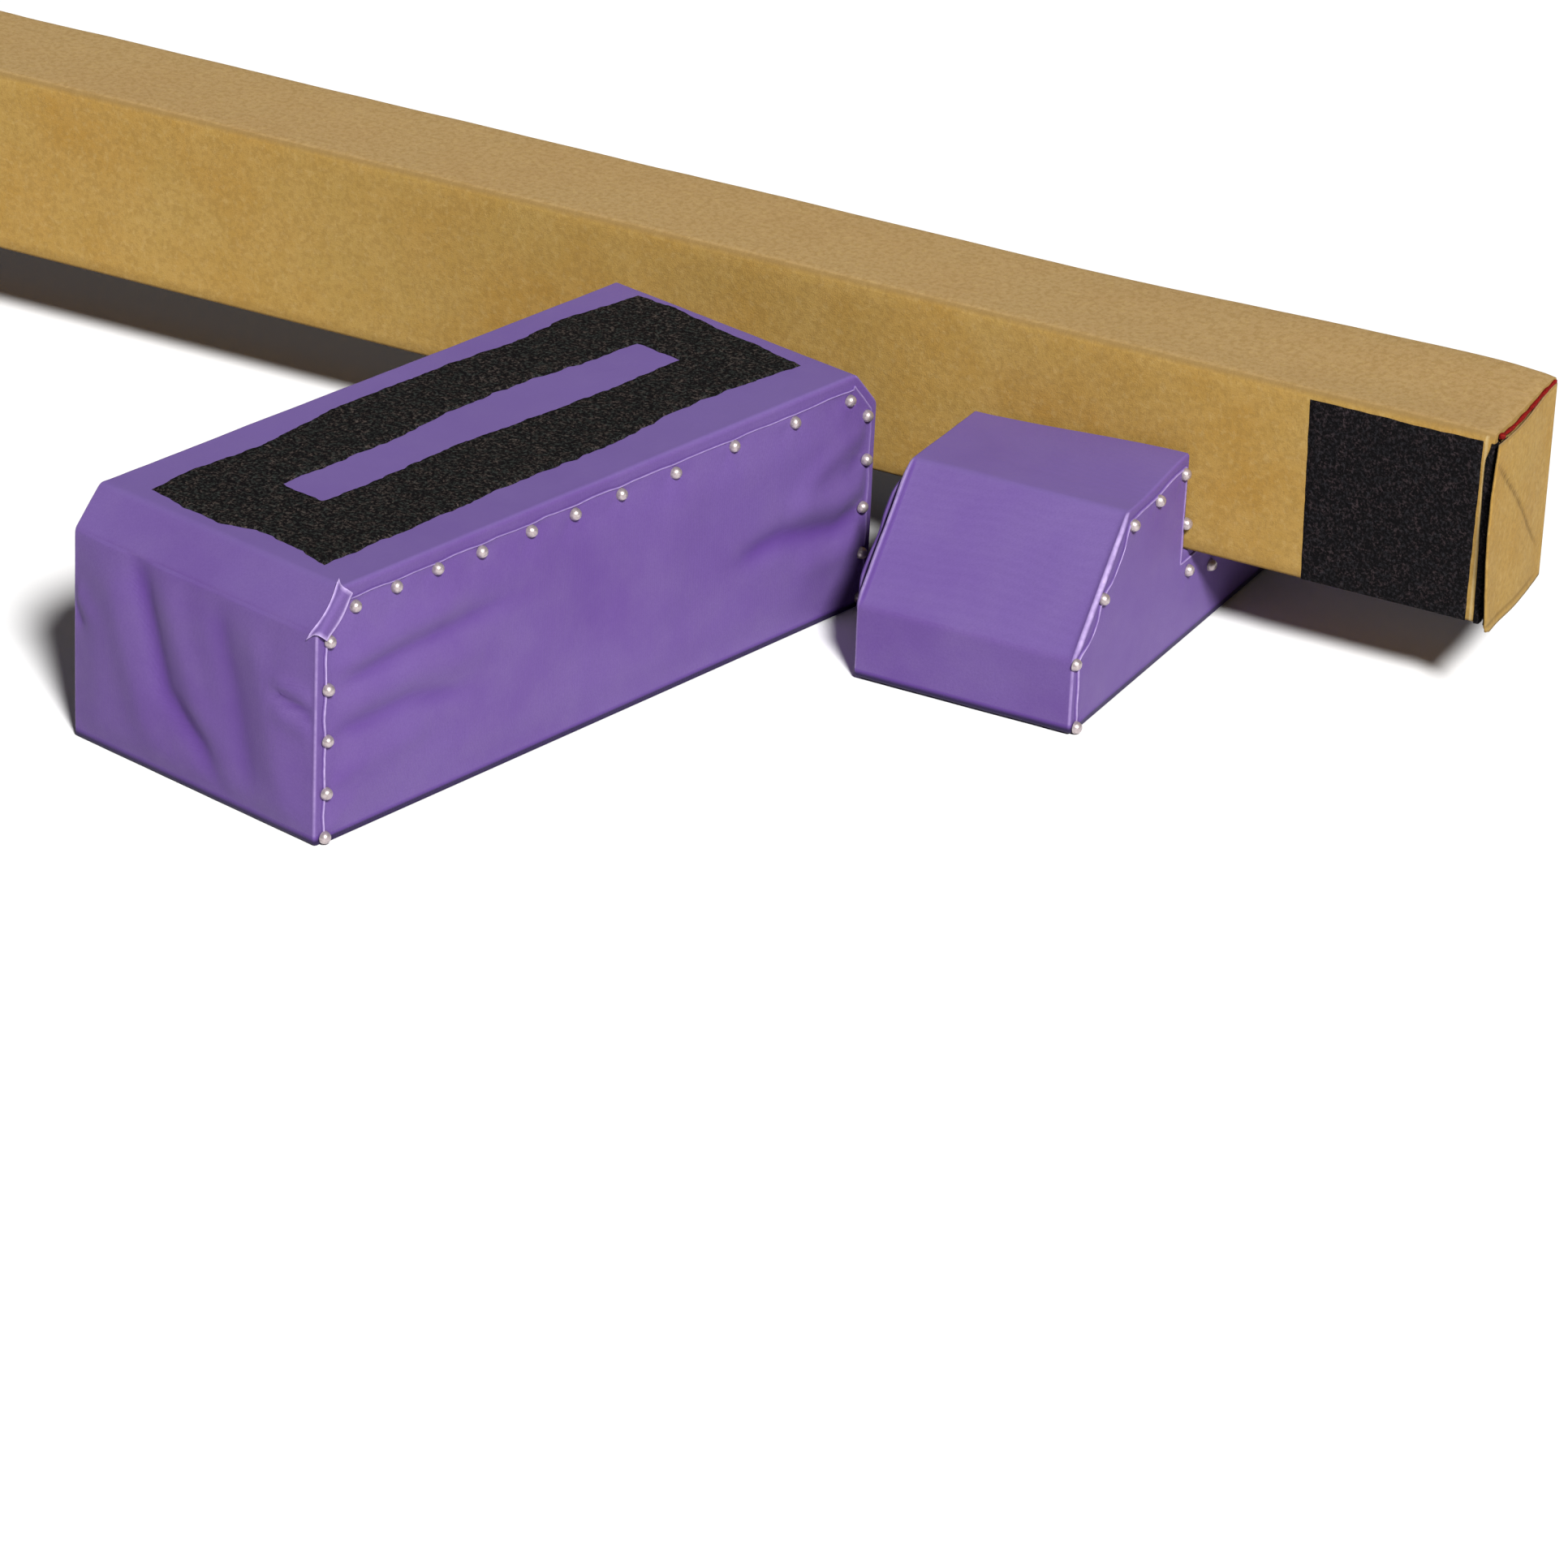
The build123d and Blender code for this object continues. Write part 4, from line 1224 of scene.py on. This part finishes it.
def make_flap(end):
    """The suede end flap: turns round the back edge, bulges at its free front edge, hemmed below."""
    low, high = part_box(f"{end}_end_flap")
    gap = (high.x - low.x) - SUEDE + 0.3 * MM
    path = flap_path(gap, high.y - SUEDE, low.y)
    shares = stations([0, 0.02, 0.98, 1], 0.02)
    x, y, share = np.array([(x, y, share) for x, y in path for share in shares]).T
    z = low.z + share * (high.z - FLAP_TOP_DROP - low.z)
    across = np.clip((y - low.y) / (high.y - low.y), 0, 1)
    edge_shares, edge_reaches = np.array(FLAP_FREE_EDGE).T
    y = y - np.interp(share, edge_shares, edge_reaches * MM) * smooth_step(1 - across, 0.5, 1.0)
    z -= share ** 8 * 2.0 * MM * smooth_step(across, 0.95, 1.0)
    z += swell(np.full(len(y), end_x[end]), y) * smooth_step(share, 0.75, 1.0)
    z += (1 - share) ** 6 * (2.5 * MM * smooth_step(across, 0.85, 1.0)
                             + FLAP_CLEARANCE * smooth_step(-x, -0.6 * MM, 1.4 * MM))
    loose = smooth_step(1 - across, 0.05, 0.3)
    bulge = 2.4 * MM * bell(across, 0, 0.13) * (0.5 + 0.5 * np.sin(share * 4.2 + 0.9))
    slack = 0.9 * MM * bell(across, 0.5, 0.3) * smooth_step(1 - share, 0, 0.2)
    crease = fold_relief(np.column_stack([y, z]), FLAP_CREASE)
    hem = 0.5 * MM * (1 - smooth_step(z - low.z, FLAP_HEM_LINE - 1.5 * MM, FLAP_HEM_LINE))
    stitched = bell(z - low.z, FLAP_HEM_LINE, 1.1 * MM)
    wander = 0.5 * MM * fractal(np.column_stack([x, y, z]), 0.05, 91)
    x = x + loose * (bulge + slack + wander + hem - 0.5 * MM * stitched) + crease
    z += 2.5 * MM * smooth_step(1 - across, 0.93, 1.0) * smooth_step(1 - share, 0.94, 1.0)
    points = np.column_stack([end_x[end] + ENDS[end] * x, y, z])
    faces = grid_faces(len(path), len(shares))
    # painted shade: the crease value darkens the flap's fold and the groove of its stitched hem
    piece = make_piece(f"{end}_flap_suede", points, faces if ENDS[end] < 0 else flipped(faces),
                       f"{end}_flap", "suede", f"{end}_end_flap",
                       crease=np.clip(-crease / (0.8 * MM), 0, 1) + 0.6 * stitched * loose)
    thickness = piece.modifiers.new("thickness", "SOLIDIFY")
    thickness.thickness = SUEDE
    thickness.offset = 1.0
    thickness.use_even_offset = False


PIPING_RADIUS = 1.55 * MM
KNOT_RISE = 1.1 * MM


def tube(path, radii, sides):
    """Points and faces of a closed tube along a path."""
    points = []
    for centre, way, radius in zip(path, np.gradient(path, axis=0), radii):
        side = unit(np.cross(unit(way), (0, 0, 1.0)))
        up = np.cross(side, unit(way))
        for angle in 2 * math.pi * np.arange(sides) / sides:
            points.append(centre + radius * (side * math.cos(angle) + up * math.sin(angle)))
    first_end, last_end = tuple(range(sides)), tuple(range(len(points) - sides, len(points)))
    return points, grid_faces(len(path), sides, closed=True) + [first_end[::-1], last_end]


def make_piping(end):
    """Dark red piping along the flap's top, with a knot at its front end."""
    low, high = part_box(f"{end}_flap_piping")
    t = np.linspace(0, 1, 90)
    y = low.y + (high.y - low.y) * t
    sway = 0.45 * MM * np.sin(t * 19) + 0.25 * MM * np.sin(t * 47 + 1)
    closer = 1.6 * MM * ENDS[end] * (1 - smooth_step(1 - t, 0.0, 0.72))
    x = (low.x + high.x) / 2 + 0.4 * sway - closer
    z = (low.z + high.z) / 2 + 1.4 * MM + sway + swell(np.full(len(y), end_x[end]), y)
    ends = np.minimum(np.arange(len(t)), np.arange(len(t))[::-1])
    radii = PIPING_RADIUS + KNOT_RISE * bell(t, 0.035, 0.028) + 0.25 * MM * np.sin(t * 31 + 2)
    radii *= np.minimum(1, 0.45 + ends / 4)
    points, faces = tube(np.column_stack([x, y, z]), radii, sides=14)
    make_piece(f"{end}_red_piping", points, faces, f"{end}_flap", "red_piping",
               f"{end}_flap_piping")


for beam_end in ENDS:
    make_flap(beam_end)
    make_piping(beam_end)


# ---- CAD nodes that keep their shape -------------------------------------------------------------
def dress(slot, *names):
    """Give carried-over CAD nodes their material."""
    for name in names:
        for material_slot in frame["nodes"][name].material_slots:
            material_slot.material = looks[slot]


dress("timber", "beam_core")
for beam_end in ENDS:
    dress("timber", *[f"{beam_end}_cradle_{block}"
                      for block in ("front_block", "saddle_block", "back_block")])
    dress("plywood", f"{beam_end}_cradle_base_board", *[f"{beam_end}_riser_{board}" for board in (
        "base_board", "top_board", "end_boards", "corner_boards", "long_panels", "rib")])


# ---- floor, light, camera ------------------------------------------------------------------------
FOLLOWED_POINT = Vector((-0.050853, -0.430104, 0.0))
VIEW_AZIMUTH = 26.7205      # degrees
VIEW_ELEVATION = 26.5561
VIEW_ROLL = 2.6942
VIEW_DISTANCE = 5.25901
VIEW_LENS = 167.2444


def make_floor():
    """A plain pale floor, just below the blocks."""
    bpy.ops.mesh.primitive_plane_add(size=60, location=(0, 0, -0.2 * MM))
    floor = bpy.context.object
    floor.name = "floor"
    s = Shader("floor")
    tone = s.mix(s.noise(3, 2), (0.73, 0.73, 0.73), (0.75, 0.75, 0.75))
    floor.data.materials.append(s.finish(Base_Color=tone, Roughness=0.9))


def aimed(name, data, azimuth, elevation, distance, roll=0.0):
    """A camera or lamp that faces the followed point: azimuth 0 looks along +Y, in degrees."""
    azimuth, elevation, roll = (math.radians(a) for a in (azimuth, elevation, roll))
    back = Vector((math.sin(azimuth) * math.cos(elevation),
                   -math.cos(azimuth) * math.cos(elevation), math.sin(elevation)))
    right = Vector((math.cos(azimuth), math.sin(azimuth), 0))
    up = back.cross(right)
    side = math.cos(roll) * right + math.sin(roll) * up
    top = math.cos(roll) * up - math.sin(roll) * right
    matrix = Matrix((side, top, back)).transposed().to_4x4()
    matrix.translation = FOLLOWED_POINT + back * distance
    thing = bpy.data.objects.new(name, data)
    thing.matrix_world = matrix
    bpy.context.scene.collection.objects.link(thing)
    return thing


def make_camera():
    """The camera at the photograph's viewing angle."""
    data = bpy.data.cameras.new("camera")
    data.lens = VIEW_LENS
    data.sensor_width = 36
    data.clip_end = 100
    bpy.context.scene.camera = aimed("camera", data, VIEW_AZIMUTH, VIEW_ELEVATION, VIEW_DISTANCE,
                                     VIEW_ROLL)


def make_lamp(name, azimuth, elevation, softness, power, color):
    """A large far studio lamp: its softness is the angle that it fills, in degrees."""
    data = bpy.data.lights.new(name, "SUN")
    data.angle = math.radians(softness)
    data.energy = power
    data.color = color
    aimed(name, data, azimuth, elevation, 5)


def make_light():
    """One large key lamp, a faint fill and a dim studio round them."""
    world = bpy.data.worlds.new("studio")
    world.use_nodes = True
    background = world.node_tree.nodes["Background"]
    background.inputs["Color"].default_value = (0.92, 0.97, 1.12, 1)
    background.inputs["Strength"].default_value = 0.042
    bpy.context.scene.world = world
    bpy.context.scene.view_settings.view_transform = "Standard"
    make_lamp("key", azimuth=44, elevation=41, softness=10, power=6.75, color=(1.0, 0.996, 0.99))
    make_lamp("fill", azimuth=-120, elevation=50, softness=60, power=0.08, color=(1.0, 1.0, 1.0))


make_floor()
make_camera()
make_light()
